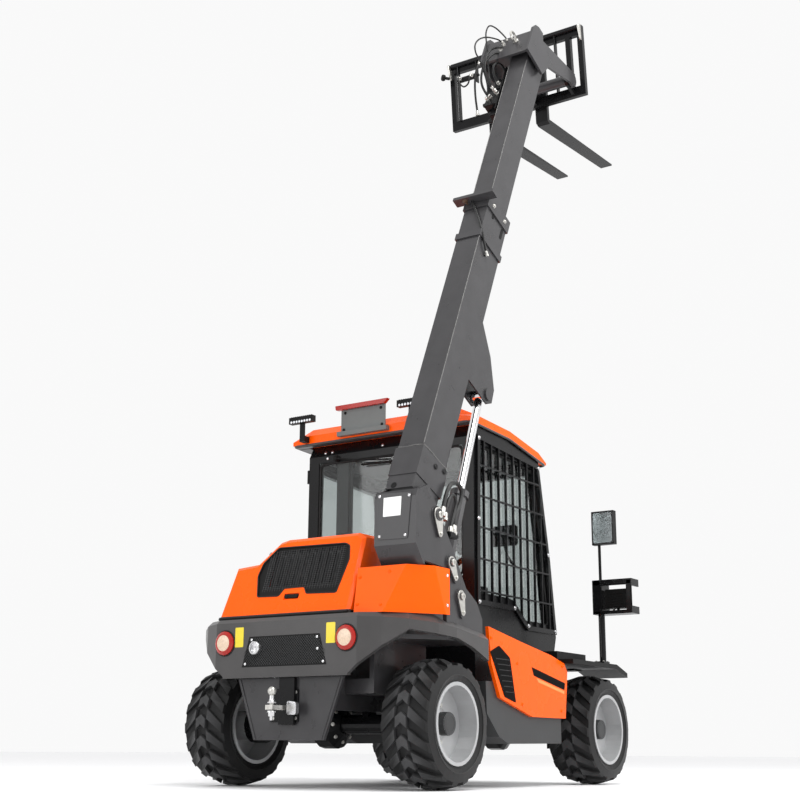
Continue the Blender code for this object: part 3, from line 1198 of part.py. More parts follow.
def window_guard():
    """The steel bar guard that keeps the operator clear of the boom."""
    outline = cab_outline(GUARD_SHARES)
    inner = inset_outline(outline, GUARD_FRAME)
    y_pair = (CAB_RIGHT_Y - SEAT - GUARD_THICKNESS, CAB_RIGHT_Y - SEAT)
    frame = prism(outline, "y", *y_pair)
    bars = prism(inset_outline(outline, GUARD_FRAME / 2), "y", *y_pair)
    opening = prism(inner, "y", y_pair[0] - OVERRUN, y_pair[1] + OVERRUN)
    x_low = min(x for x, z in outline)
    x_high = max(x for x, z in outline)
    z_low = min(z for x, z in outline)
    z_high = max(z for x, z in outline)
    pitch_x = (x_high - x_low) / (GUARD_COLUMNS + 1)
    pitch_z = (z_high - z_low) / (GUARD_ROWS + 1)
    cells = []
    for column in range(GUARD_COLUMNS + 1):
        for row in range(GUARD_ROWS + 1):
            x = x_low + column * pitch_x
            z = z_low + row * pitch_z
            cells.append(box((x + GUARD_BAR / 2, x + pitch_x - GUARD_BAR / 2),
                             (y_pair[0] - OVERRUN, y_pair[1] + OVERRUN),
                             (z + GUARD_BAR / 2, z + pitch_z - GUARD_BAR / 2)))
    keep("window_guard", unite(cut(frame, opening), cut(bars, *cells)), BLACK)


def cab_door():
    """The left door frame and its pane, hinged at the rear edge."""
    hinge = (CAB_REAR_X + CAB_POST * 3 / 4, CAB_LEFT_Y + DOOR_THICKNESS, 0)
    outline = cab_outline(DOOR_SHARES)
    y_pair = (CAB_LEFT_Y - DOOR_THICKNESS / 2 + SEAT, CAB_LEFT_Y + DOOR_THICKNESS)
    frame = prism(outline, "y", *y_pair)
    glass_outline = inset_outline(outline, CAB_POST)
    opening = prism(glass_outline, "y", y_pair[0] - OVERRUN, y_pair[1] + OVERRUN)
    keep("cab_door", about(cut(frame, opening), hinge), BLACK, hinge)
    pane = prism(inset_outline(glass_outline, SEAT), "y", CAB_LEFT_Y, CAB_LEFT_Y + GLASS_THICKNESS)
    keep("door_glass", about(pane, hinge), GLASS, hinge)


def cab_inside():
    """Driver's seat on its pedestal, and the dashboard with the steering wheel."""
    floor = CAB_FLOOR_Z + CAB_POST + SEAT
    half = SEAT_WIDTH / 2
    thick = CAB_POST * 2
    cushion_z = floor + CAB_POST * 7
    pedestal = box((SEAT_X - half * 3 / 4, SEAT_X + half / 4), (SEAT_Y - half * 3 / 4, SEAT_Y + half * 3 / 4),
                   (floor, cushion_z + thick / 4))
    cushion = box((SEAT_X - half, SEAT_X + half), (SEAT_Y - half, SEAT_Y + half), (cushion_z, cushion_z + thick))
    back = prism([
        (SEAT_X - half - thick / 2, cushion_z + thick / 2), (SEAT_X - half + thick / 2, cushion_z + thick / 2),
        (SEAT_X - half, cushion_z + half * 5 / 2), (SEAT_X - half - thick, cushion_z + half * 5 / 2),
    ], "y", SEAT_Y - half * 7 / 8, SEAT_Y + half * 7 / 8)
    keep("driver_seat", unite(cushion, pedestal, back), FABRIC)
    dash_x = CAB_REAR_X + (CAB_FRONT_X - CAB_REAR_X) * 0.80
    dash_floor = cab_outline(CAB_SHARES)[2][1] + CAB_POST + SEAT
    dash = prism([
        (dash_x, dash_floor), (dash_x + thick, dash_floor), (dash_x + thick, dash_floor + half * 2),
        (dash_x - thick, dash_floor + half * 2), (dash_x - thick, dash_floor + half * 3 / 2),
    ], "y", SEAT_Y - half * 3 / 4, SEAT_Y + half * 3 / 4)
    length = half * 3 / 2
    tube = WHEEL_RING_TUBE
    ring = turned([
        (WHEEL_RING_RADIUS - tube, -tube), (WHEEL_RING_RADIUS + tube, -tube),
        (WHEEL_RING_RADIUS + tube, tube), (WHEEL_RING_RADIUS - tube, tube),
    ], (0, 0, length), (0, 0, 1))
    spoke = box((-WHEEL_RING_RADIUS, WHEEL_RING_RADIUS), (-tube, tube), (length - tube / 2, length + tube / 2))
    column = rod((0, 0, 0), (0, 0, length), STALK_RADIUS * 2, PIN_SIDES)
    wheel_set = unite(ring, spoke, column)
    lean = Matrix.Rotation(-COLUMN_LEAN, 4, "Y")
    foot = Matrix.Translation((dash_x, SEAT_Y, dash_floor + half * 3 / 2))
    wheel_set.data.transform(foot @ lean)
    keep("steering_wheel", unite(dash, wheel_set), BLACK)


# Rear lamps and plate holder at the roof's rear edge
WORK_LAMP_WIDTH = 0.200
WORK_LAMP_HEIGHT = 0.045
WORK_LAMP_DEPTH = 0.040
WORK_LAMP_RISE = 0.109
PLATE_WIDTH = 0.400
PLATE_HEIGHT = 0.165
PLATE_DEPTH = 0.020
LAMP_BAR_HEIGHT = 0.030
PLATE_Y = 0.250


def roof_lamps():
    """Two work lamps on brackets and the lamp bar with its blank plate, at the roof's rear edge."""
    top = roof_height(ROOF_REAR_X) + ROOF_THICKNESS / 4
    face = ROOF_REAR_X - SEAT
    for hand, y in (("left", ROOF_LEFT_Y - WORK_LAMP_WIDTH * 3 / 5), ("right", -WORK_LAMP_WIDTH * 4 / 5)):
        lamp = box((face - WORK_LAMP_DEPTH * 2, face - WORK_LAMP_DEPTH),
                   (y - WORK_LAMP_WIDTH / 2, y + WORK_LAMP_WIDTH / 2),
                   (top + WORK_LAMP_RISE, top + WORK_LAMP_RISE + WORK_LAMP_HEIGHT))
        arm = box((face - WORK_LAMP_DEPTH * 3 / 2, face), (y - WORK_LAMP_DEPTH / 2, y + WORK_LAMP_DEPTH / 2),
                  (top - WORK_LAMP_DEPTH / 2, top + WORK_LAMP_DEPTH / 2))
        neck = box((face - WORK_LAMP_DEPTH * 3 / 2, face - WORK_LAMP_DEPTH * 5 / 4),
                   (y - WORK_LAMP_DEPTH / 2, y + WORK_LAMP_DEPTH / 2), (top, top + WORK_LAMP_RISE * 5 / 4))
        keep("work_lamp_" + hand, unite(lamp, arm, neck), BLACK)
    bar = box((face - PLATE_DEPTH * 2, face), (PLATE_Y - PLATE_WIDTH / 2, PLATE_Y + PLATE_WIDTH / 2),
              (top - LAMP_BAR_HEIGHT / 2, top + LAMP_BAR_HEIGHT / 2))
    plate = box((face - PLATE_DEPTH, face - PLATE_DEPTH / 2),
                (PLATE_Y - PLATE_WIDTH * 4 / 9, PLATE_Y + PLATE_WIDTH * 4 / 9), (top, top + PLATE_HEIGHT))
    keep("plate_holder", unite(bar, plate), GREY)


def boom_tube(start, end, width, height, wall, centre_up):
    """A box tube along the boom, open at its far end."""
    bottom = centre_up - height / 2
    tube = box((start, end), (-width / 2, width / 2), (bottom, bottom + height))
    hollow = box((start + wall, end + OVERRUN), (-width / 2 + wall, width / 2 - wall),
                 (bottom + wall, bottom + height - wall))
    return cut(tube, hollow)


# Lift bracket outline shares along the boom and down from its underside
BRACKET_SHARES = (
    (0.00, 0.0), (1.00, 0.0), (0.62, 0.62), (0.26, 0.98), (0.06, 1.00), (-0.02, 0.86),
)
BASE_COLLAR_END_X = 0.340
COLLAR_START_X = 1.980
COLLAR_PLATE = 0.010
BAND_WIDTH = 0.050
GUIDE_WIDTH = 0.300
GUIDE_RISE = 0.070


def outer_boom():
    """The outer section: pivot boss, tube, end collar and the lift cylinder's bracket."""
    tube = boom_tube(OUTER_START_X, OUTER_END_X, OUTER_WIDTH, OUTER_HEIGHT, OUTER_WALL, OUTER_CENTRE_UP)
    bottom = OUTER_CENTRE_UP - OUTER_HEIGHT / 2
    top = OUTER_CENTRE_UP + OUTER_HEIGHT / 2
    half = OUTER_WIDTH / 2
    foot = prism(
        [(OUTER_START_X + OUTER_WALL, top - SEAT), (OUTER_START_X - OUTER_WALL, top - OUTER_WALL)]
        + arc((0, 0), BASE_BOSS_RADIUS, 130, 250, 6)
        + [(OUTER_START_X + OUTER_WALL, bottom + SEAT)],
        "y", -half + SEAT, half - SEAT,
    )
    collars = []
    for start, end in ((OUTER_START_X / 2 + OUTER_START_X, BASE_COLLAR_END_X), (COLLAR_START_X, COLLAR_START_X + BAND_WIDTH),
                       (OUTER_END_X - BAND_WIDTH * 2, OUTER_END_X)):
        ring = box((start, end), (-half - COLLAR_PLATE, half + COLLAR_PLATE),
                   (bottom - COLLAR_PLATE, top + COLLAR_PLATE))
        slot = box((start - OVERRUN, end + OVERRUN), (-half + OUTER_WALL / 2, half - OUTER_WALL / 2),
                   (bottom + OUTER_WALL / 2, top - OUTER_WALL / 2))
        collars.append(cut(ring, slot))
    guide = box((OUTER_END_X - BAND_WIDTH, OUTER_END_X - BAND_WIDTH / 2), (-GUIDE_WIDTH / 2, GUIDE_WIDTH / 2),
                (top + COLLAR_PLATE / 2, top + GUIDE_RISE))
    plates = []
    for side in (1, -1):
        inner = side * BRACKET_INNER_HALF
        outline = spread(BRACKET_SHARES, (BRACKET_START_X, BRACKET_END_X), (bottom + OUTER_WALL / 2, -BRACKET_DEPTH))
        plates.append(prism(outline, "y", inner, inner + side * BRACKET_PLATE))
        boss_y = (inner + side * BRACKET_PLATE / 2, inner + side * BRACKET_PLATE * 2)
        plates.append(rod((LIFT_PIN_ALONG, boss_y[0], -LIFT_PIN_DOWN), (LIFT_PIN_ALONG, boss_y[1], -LIFT_PIN_DOWN),
                          LIFT_EYE_RADIUS, PIN_SIDES))
    body = unite(tube, foot, *collars, guide, *plates)
    bore = ring_bore((0, 0, 0), (0, 1, 0), PIN_RADIUS, OUTER_WIDTH * 2)
    keep("boom_outer", cut(body, bore), GREY, (PIVOT_X, BOOM_Y, PIVOT_Z), BOOM_ANGLE)


# Head cheek outline shares along the head and up to its top, from its front round to its underside
HEAD_SHARES = (
    (0.82, 0.42), (1.00, 0.52), (0.98, 0.76), (0.90, 0.92), (0.76, 1.00), (0.00, 1.00), (0.00, 0.08), (0.42, -0.11),
)


def inner_boom():
    """The inner section with wear pads and the wide head that carries the fork carriage."""
    tube = boom_tube(INNER_START_X, INNER_END_X, INNER_WIDTH, INNER_HEIGHT, INNER_WALL, OUTER_CENTRE_UP)
    offset = BOOM_Y
    outline = spread(HEAD_SHARES, (HEAD_START_X, HEAD_END_X), (0, HEAD_TOP_UP))
    outline += arc((TILT_PIVOT_ALONG, -TILT_PIVOT_DOWN), HEAD_BOSS_RADIUS, 180 - HEAD_FRONT_LEAN,
                   360 + HEAD_FRONT_LEAN, 8)
    right = prism(outline, "y", HEAD_RIGHT_Y - offset, HEAD_RIGHT_Y - offset + HEAD_PLATE)
    left = prism(outline, "y", HEAD_LEFT_Y - offset - HEAD_PLATE, HEAD_LEFT_Y - offset)
    width = (HEAD_RIGHT_Y - offset + HEAD_PLATE / 2, HEAD_LEFT_Y - offset - HEAD_PLATE / 2)
    crown = box((HEAD_START_X + HEAD_PLATE, HEAD_END_X - HEAD_PLATE * 5), width,
                (HEAD_TOP_UP - HEAD_PLATE * 2, HEAD_TOP_UP - HEAD_PLATE))
    bulkhead = box((INNER_END_X - HEAD_PLATE * 3, INNER_END_X - HEAD_PLATE), width,
                   (OUTER_CENTRE_UP - INNER_HEIGHT / 2 + HEAD_PLATE * 2, HEAD_TOP_UP - HEAD_PLATE * 3 / 2))
    tube_pin = rod((TILT_PIVOT_ALONG, width[0], -TILT_PIVOT_DOWN), (TILT_PIVOT_ALONG, width[1], -TILT_PIVOT_DOWN),
                   TILT_TUBE_RADIUS, TILT_TUBE_SIDES)
    pads = []
    inner_half = OUTER_WIDTH / 2 - OUTER_WALL - RUN
    pad_low = OUTER_CENTRE_UP - OUTER_HEIGHT / 2 + OUTER_WALL + RUN
    pad_high = OUTER_CENTRE_UP + OUTER_HEIGHT / 2 - OUTER_WALL - RUN
    pad = box((INNER_START_X + INNER_WALL, INNER_START_X + BAND_WIDTH), (-inner_half, inner_half), (pad_low, pad_high))
    pad_hole = box((INNER_START_X - OVERRUN, INNER_START_X + BAND_WIDTH + OVERRUN),
                   (-INNER_WIDTH / 2 + INNER_WALL / 2, INNER_WIDTH / 2 - INNER_WALL / 2),
                   (OUTER_CENTRE_UP - INNER_HEIGHT / 2 + INNER_WALL / 2,
                    OUTER_CENTRE_UP + INNER_HEIGHT / 2 - INNER_WALL / 2))
    pads.append(cut(pad, pad_hole))
    body = unite(tube, right, left, crown, bulkhead, tube_pin, *pads)
    keep("boom_inner", body, GREY, (PIVOT_X, BOOM_Y, PIVOT_Z), BOOM_ANGLE)


def carriage():
    """The fork carriage and its two forks, turned to the rest tilt at the pivot tube."""
    x, z = boom_point(TILT_PIVOT_ALONG, -TILT_PIVOT_DOWN)
    pivot = (x, 0, z)
    face = (CARRIAGE_FACE_X - CARRIAGE_BAR, CARRIAGE_FACE_X)
    parts = []
    for low in (CARRIAGE_BOTTOM_Z, CARRIAGE_TOP_Z - CARRIAGE_BAR_HEIGHT):
        parts.append(box(face, (CARRIAGE_RIGHT_Y, CARRIAGE_LEFT_Y), (low, low + CARRIAGE_BAR_HEIGHT)))
    for y in (CARRIAGE_RIGHT_Y, CARRIAGE_LEFT_Y - CARRIAGE_BAR, HEAD_LEFT_Y - HEAD_PLATE * 3,
              HEAD_RIGHT_Y + HEAD_PLATE * 2):
        parts.append(box(face, (y, y + CARRIAGE_BAR), (CARRIAGE_BOTTOM_Z + OVERRUN, CARRIAGE_TOP_Z - OVERRUN)))
    clear = HEAD_PLATE / 2
    for y in (HEAD_LEFT_Y - HEAD_PLATE - clear - CARRIAGE_EAR, HEAD_RIGHT_Y + HEAD_PLATE + clear):
        ear = prism(arc((0, 0), CARRIAGE_EAR_RADIUS, 90, 270, 6) + [
            (face[1] - clear, CARRIAGE_BOTTOM_Z), (face[1] - clear, CARRIAGE_BOTTOM_Z + CARRIAGE_EAR_RADIUS * 3),
        ], "y", y, y + CARRIAGE_EAR)
        parts.append(ear)
    bore = ring_bore((0, (HEAD_LEFT_Y + HEAD_RIGHT_Y) / 2, 0), (0, 1, 0), TILT_TUBE_RADIUS,
                     HEAD_LEFT_Y - HEAD_RIGHT_Y, TILT_TUBE_SIDES)
    keep("fork_carriage", cut(unite(parts[0], *parts[1:]), bore), BLACK, pivot, FORK_TILT)
    for hand, y in (("left", FORK_LEFT_Y), ("right", FORK_RIGHT_Y)):
        back = CARRIAGE_FACE_X + SEAT
        front = back + FORK_THICKNESS
        top = CARRIAGE_TOP_Z - CARRIAGE_BAR_HEIGHT / 4
        outline = [
            (back, top), (front, top), (front, FORK_HEEL_Z + FORK_THICKNESS),
            (back + FORK_LENGTH, FORK_HEEL_Z + FORK_TIP_THICKNESS), (back + FORK_LENGTH, FORK_HEEL_Z),
            (front, FORK_HEEL_Z), (back, FORK_HEEL_Z + FORK_THICKNESS / 2),
        ]
        fork = prism(outline, "y", y - FORK_WIDTH / 2, y + FORK_WIDTH / 2)
        keep("fork_" + hand, fork, BLACK, pivot, FORK_TILT)


def lift_cylinder():
    """Barrel on the tower's lowest pin and rod towards the boom's bracket."""
    eye_x, eye_z = boom_point(LIFT_PIN_ALONG, -LIFT_PIN_DOWN)
    length = math.hypot(eye_x - LIFT_BASE_X, eye_z - LIFT_BASE_Z)
    angle = math.atan2(eye_z - LIFT_BASE_Z, eye_x - LIFT_BASE_X)
    base = (LIFT_BASE_X, BOOM_Y, LIFT_BASE_Z)
    half = LIFT_EYE_WIDTH / 2
    outer = LIFT_BARREL_RADIUS
    inner = LIFT_ROD_RADIUS + RUN * 2
    barrel = turned([
        (0, LIFT_BARREL_START_X - LIFT_EYE_RADIUS / 2), (outer, LIFT_BARREL_START_X - LIFT_EYE_RADIUS / 2),
        (outer, LIFT_BARREL_END_X), (inner, LIFT_BARREL_END_X), (inner, LIFT_BARREL_START_X + LIFT_BARREL_WALL),
        (0, LIFT_BARREL_START_X + LIFT_BARREL_WALL),
    ], (0, 0, 0), (1, 0, 0))
    eye = rod((0, -half, 0), (0, half, 0), LIFT_EYE_RADIUS)
    collar = turned([
        (outer - LIFT_BARREL_WALL, LIFT_BARREL_END_X - LIFT_EYE_RADIUS),
        (outer + LIFT_BARREL_WALL, LIFT_BARREL_END_X - LIFT_EYE_RADIUS),
        (outer + LIFT_BARREL_WALL, LIFT_BARREL_END_X), (outer - LIFT_BARREL_WALL, LIFT_BARREL_END_X),
    ], (0, 0, 0), (1, 0, 0))
    bore = ring_bore((0, 0, 0), (0, 1, 0), LIFT_PIN_RADIUS, LIFT_EYE_WIDTH * 2)
    keep("lift_barrel", cut(unite(barrel, eye, collar), bore), GREY, base, angle)
    rod_start = LIFT_BARREL_END_X - LIFT_ROD_OVERLAP
    shaft = rod((rod_start, 0, 0), (length - LIFT_EYE_RADIUS / 2, 0, 0), LIFT_ROD_RADIUS)
    head = rod((length, -half, 0), (length, half, 0), LIFT_EYE_RADIUS)
    keep("lift_rod", unite(shaft, head), CHROME, base, angle)


def build():
    """Clears the file and models every sub-part under the root empty."""
    for leftover in list(bpy.data.objects):
        bpy.data.objects.remove(leftover)
    root = bpy.data.objects.new("machine", None)
    root.location = (-CENTRE_X, -CENTRE_Y, 0)
    bpy.context.scene.collection.objects.link(root)
    chassis()
    axles()
    wheels()
    tower()
    tower_cover()
    rear_body()
    rear_details()
    hood()
    engine()
    sides()
    front_fenders()
    mirror_and_lamp()
    cab()
    roof_lamps()
    outer_boom()
    inner_boom()
    carriage()
    lift_cylinder()


build()
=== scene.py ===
"""Looks of the compact telehandler: finishes, small fittings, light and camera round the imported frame."""

import math

import bmesh
import bpy
from mathutils import Matrix, Vector
from mathutils.bvhtree import BVHTree


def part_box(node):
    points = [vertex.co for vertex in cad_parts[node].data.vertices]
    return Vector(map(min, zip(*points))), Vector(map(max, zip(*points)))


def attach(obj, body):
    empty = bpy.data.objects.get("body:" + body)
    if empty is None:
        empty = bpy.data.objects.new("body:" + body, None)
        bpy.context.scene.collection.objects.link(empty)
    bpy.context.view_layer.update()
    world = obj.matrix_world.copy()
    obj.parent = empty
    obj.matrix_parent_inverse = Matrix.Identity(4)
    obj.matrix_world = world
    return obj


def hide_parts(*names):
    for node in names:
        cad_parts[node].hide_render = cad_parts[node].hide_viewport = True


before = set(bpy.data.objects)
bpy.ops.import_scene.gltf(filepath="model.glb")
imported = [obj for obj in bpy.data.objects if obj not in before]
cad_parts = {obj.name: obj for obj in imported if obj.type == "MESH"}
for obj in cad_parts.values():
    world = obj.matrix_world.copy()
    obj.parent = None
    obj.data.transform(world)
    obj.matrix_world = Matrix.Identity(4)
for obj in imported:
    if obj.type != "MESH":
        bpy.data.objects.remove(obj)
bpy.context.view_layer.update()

# The photograph's viewing angle, in the row frame
CAMERA_PLACE = (-7.568, -4.516, 0.208)
CAMERA_YAW = math.radians(33.595)
CAMERA_PITCH = math.radians(15.007)
CAMERA_ROLL = math.radians(0.349)
CAMERA_LENS = 58.86
SENSOR_WIDTH = 36.0

# The machine frame's origin in the row frame: ground under the rear axle's middle
ORIGIN = Vector((-1.27148, 0.125, 0.0))
BOOM_PIVOT = Vector((-0.17, -0.68, 1.48))
BOOM_ANGLE = math.radians(66.2)
TILT_PIVOT = Vector((1.82203, 0.0, 5.10436))
FORK_TILT = math.radians(5.0)
HUB_HEIGHT = 0.352
MILLIMETRE = 0.001
AXLES = (("rear", 0.0), ("front", 1.942))
SIDES = (("left", 1), ("right", -1))
# How far a screw's head sits into what carries it
SINK = 0.0005

# Name, place, aim, size and power of each studio lamp
LAMPS = (
    ("key", (-6.0, -6.5, 8.5), (0.0, 0.0, 2.0), 4.0, 330.0),
    ("rear_fill", (-9.0, 4.0, 3.5), (-0.5, 0.0, 1.2), 4.0, 120.0),
    ("top", (-1.5, -3.5, 9.0), (0.0, -0.3, 1.0), 3.0, 330.0),
    ("right_strip", (2.5, -7.0, 4.5), (0.0, 0.0, 2.0), 2.5, 190.0),
)
SKY_STRENGTH = 0.95
FLOOR_SIZE = 120.0

MATERIALS = {}
TREES = {}


def camera():
    """Sets the camera where the photograph was taken from."""
    ahead = Vector((
        math.cos(CAMERA_YAW) * math.cos(CAMERA_PITCH), math.sin(CAMERA_YAW) * math.cos(CAMERA_PITCH),
        math.sin(CAMERA_PITCH),
    ))
    level = Vector((math.sin(CAMERA_YAW), -math.cos(CAMERA_YAW), 0.0))
    rise = level.cross(ahead)
    right = level * math.cos(CAMERA_ROLL) + rise * math.sin(CAMERA_ROLL)
    up = rise * math.cos(CAMERA_ROLL) - level * math.sin(CAMERA_ROLL)
    data = bpy.data.cameras.new("photo_camera")
    data.lens = CAMERA_LENS
    data.sensor_width = SENSOR_WIDTH
    data.clip_end = 200.0
    holder = bpy.data.objects.new("photo_camera", data)
    holder.matrix_world = Matrix((
        (right.x, up.x, -ahead.x, CAMERA_PLACE[0]), (right.y, up.y, -ahead.y, CAMERA_PLACE[1]),
        (right.z, up.z, -ahead.z, CAMERA_PLACE[2]), (0.0, 0.0, 0.0, 1.0),
    ))
    bpy.context.scene.collection.objects.link(holder)
    bpy.context.scene.camera = holder


def area_light(name, place, aim, size, power):
    """A soft square lamp that looks at a point."""
    data = bpy.data.lights.new(name, "AREA")
    data.size = size
    data.energy = power
    holder = bpy.data.objects.new(name, data)
    holder.location = place
    holder.rotation_euler = (Vector(aim) - Vector(place)).to_track_quat("-Z", "Y").to_euler()
    bpy.context.scene.collection.objects.link(holder)


def stage():
    """A plain pale floor under an even pale sky, with large soft lamps."""
    world = bpy.data.worlds.new("studio")
    bpy.context.scene.world = world
    world.use_nodes = True
    sky = world.node_tree.nodes["Background"]
    sky.inputs["Color"].default_value = (1.0, 1.0, 1.0, 1.0)
    sky.inputs["Strength"].default_value = SKY_STRENGTH
    bpy.context.scene.view_settings.view_transform = "Standard"
    bpy.ops.mesh.primitive_plane_add(size=FLOOR_SIZE, location=(0.0, 0.0, 0.0))
    floor = bpy.context.object
    floor.name = "studio_floor"
    floor.data.materials.append(MATERIALS["floor"])
    for lamp in LAMPS:
        area_light(*lamp)


def link(tree, source, output, target, socket):
    """Joins one node's output to another node's input."""
    tree.links.new(source.outputs[output], target.inputs[socket])


def add_node(tree, kind, values=None, operation=None):
    """A new shader node with some of its inputs set."""
    node = tree.nodes.new("ShaderNode" + kind)
    if operation:
        node.operation = operation
    for socket, value in (values or {}).items():
        node.inputs[socket].default_value = value
    return node


def surface(name, colour, roughness, metallic=0.0, coat=0.0, shade=0.12, scale=6.0, grain=0.0, grain_scale=400.0,
        spread=0.08, specular=0.3, extra=None):
    """A finish with slow colour and gloss variation and an optional fine grain."""
    material = bpy.data.materials.new(name)
    material.use_nodes = True
    tree = material.node_tree
    shader = tree.nodes["Principled BSDF"]
    shader.inputs["Metallic"].default_value = metallic
    shader.inputs["Coat Weight"].default_value = coat
    shader.inputs["Coat Roughness"].default_value = 0.06
    shader.inputs["Specular IOR Level"].default_value = specular
    for socket, value in (extra or {}).items():
        shader.inputs[socket].default_value = value
    place = add_node(tree, "TexCoord")
    noise = add_node(tree, "TexNoise", {"Scale": scale, "Detail": 5.0})
    link(tree, place, "Object", noise, "Vector")
    ramp = add_node(tree, "ValToRGB")
    dark, light = ramp.color_ramp.elements
    dark.position = 0.3
    light.position = 0.72
    dark.color = (*[channel * (1.0 - shade) for channel in colour], 1.0)
    light.color = (*[min(1.0, channel * (1.0 + shade)) for channel in colour], 1.0)
    link(tree, noise, "Fac", ramp, "Fac")
    link(tree, ramp, "Color", shader, "Base Color")
    limits = {"To Min": max(0.02, roughness - spread), "To Max": min(1.0, roughness + spread)}
    gloss = add_node(tree, "MapRange", limits)
    link(tree, noise, "Fac", gloss, "Value")
    link(tree, gloss, "Result", shader, "Roughness")
    if grain:
        fine = add_node(tree, "TexNoise", {"Scale": grain_scale, "Detail": 2.0})
        link(tree, place, "Object", fine, "Vector")
        bump = add_node(tree, "Bump", {"Strength": grain, "Distance": 0.001})
        link(tree, fine, "Fac", bump, "Height")
        link(tree, bump, "Normal", shader, "Normal")
    MATERIALS[name] = material
    return material


def tread(name, centre_x):
    """Tyre rubber that is greyer on top of the lugs, dust and a painted highlight, than in the grooves and on the
    walls.
    """
    material = surface(name, (0.016, 0.016, 0.0165), 0.5, shade=0.25, scale=16.0, grain=0.35, grain_scale=300.0,
        specular=0.22, extra={"Sheen Weight": 0.05, "Sheen Roughness": 0.5})
    tree = material.node_tree
    shader = tree.nodes["Principled BSDF"]
    patches = shader.inputs["Base Color"].links[0].from_node
    place = add_node(tree, "TexCoord")
    offset = add_node(tree, "VectorMath", {1: at(centre_x, 0.0, HUB_HEIGHT)}, "SUBTRACT")
    flat = add_node(tree, "VectorMath", {1: (1.0, 0.0, 1.0)}, "MULTIPLY")
    reach = add_node(tree, "VectorMath", operation="LENGTH")
    # Lighter with the distance from the axle: the grey on the lug tops is dust and a painted highlight.
    share = add_node(tree, "MapRange", {"From Min": 0.325, "From Max": 0.35, "To Min": 0.45, "To Max": 2.6})
    dust_and_painted_highlight = add_node(tree, "VectorMath", operation="SCALE")
    link(tree, place, "Object", offset, 0)
    link(tree, offset, "Vector", flat, 0)
    link(tree, flat, "Vector", reach, 0)
    link(tree, reach, "Value", share, "Value")
    link(tree, patches, "Color", dust_and_painted_highlight, 0)
    link(tree, share, "Result", dust_and_painted_highlight, "Scale")
    link(tree, dust_and_painted_highlight, "Vector", shader, "Base Color")


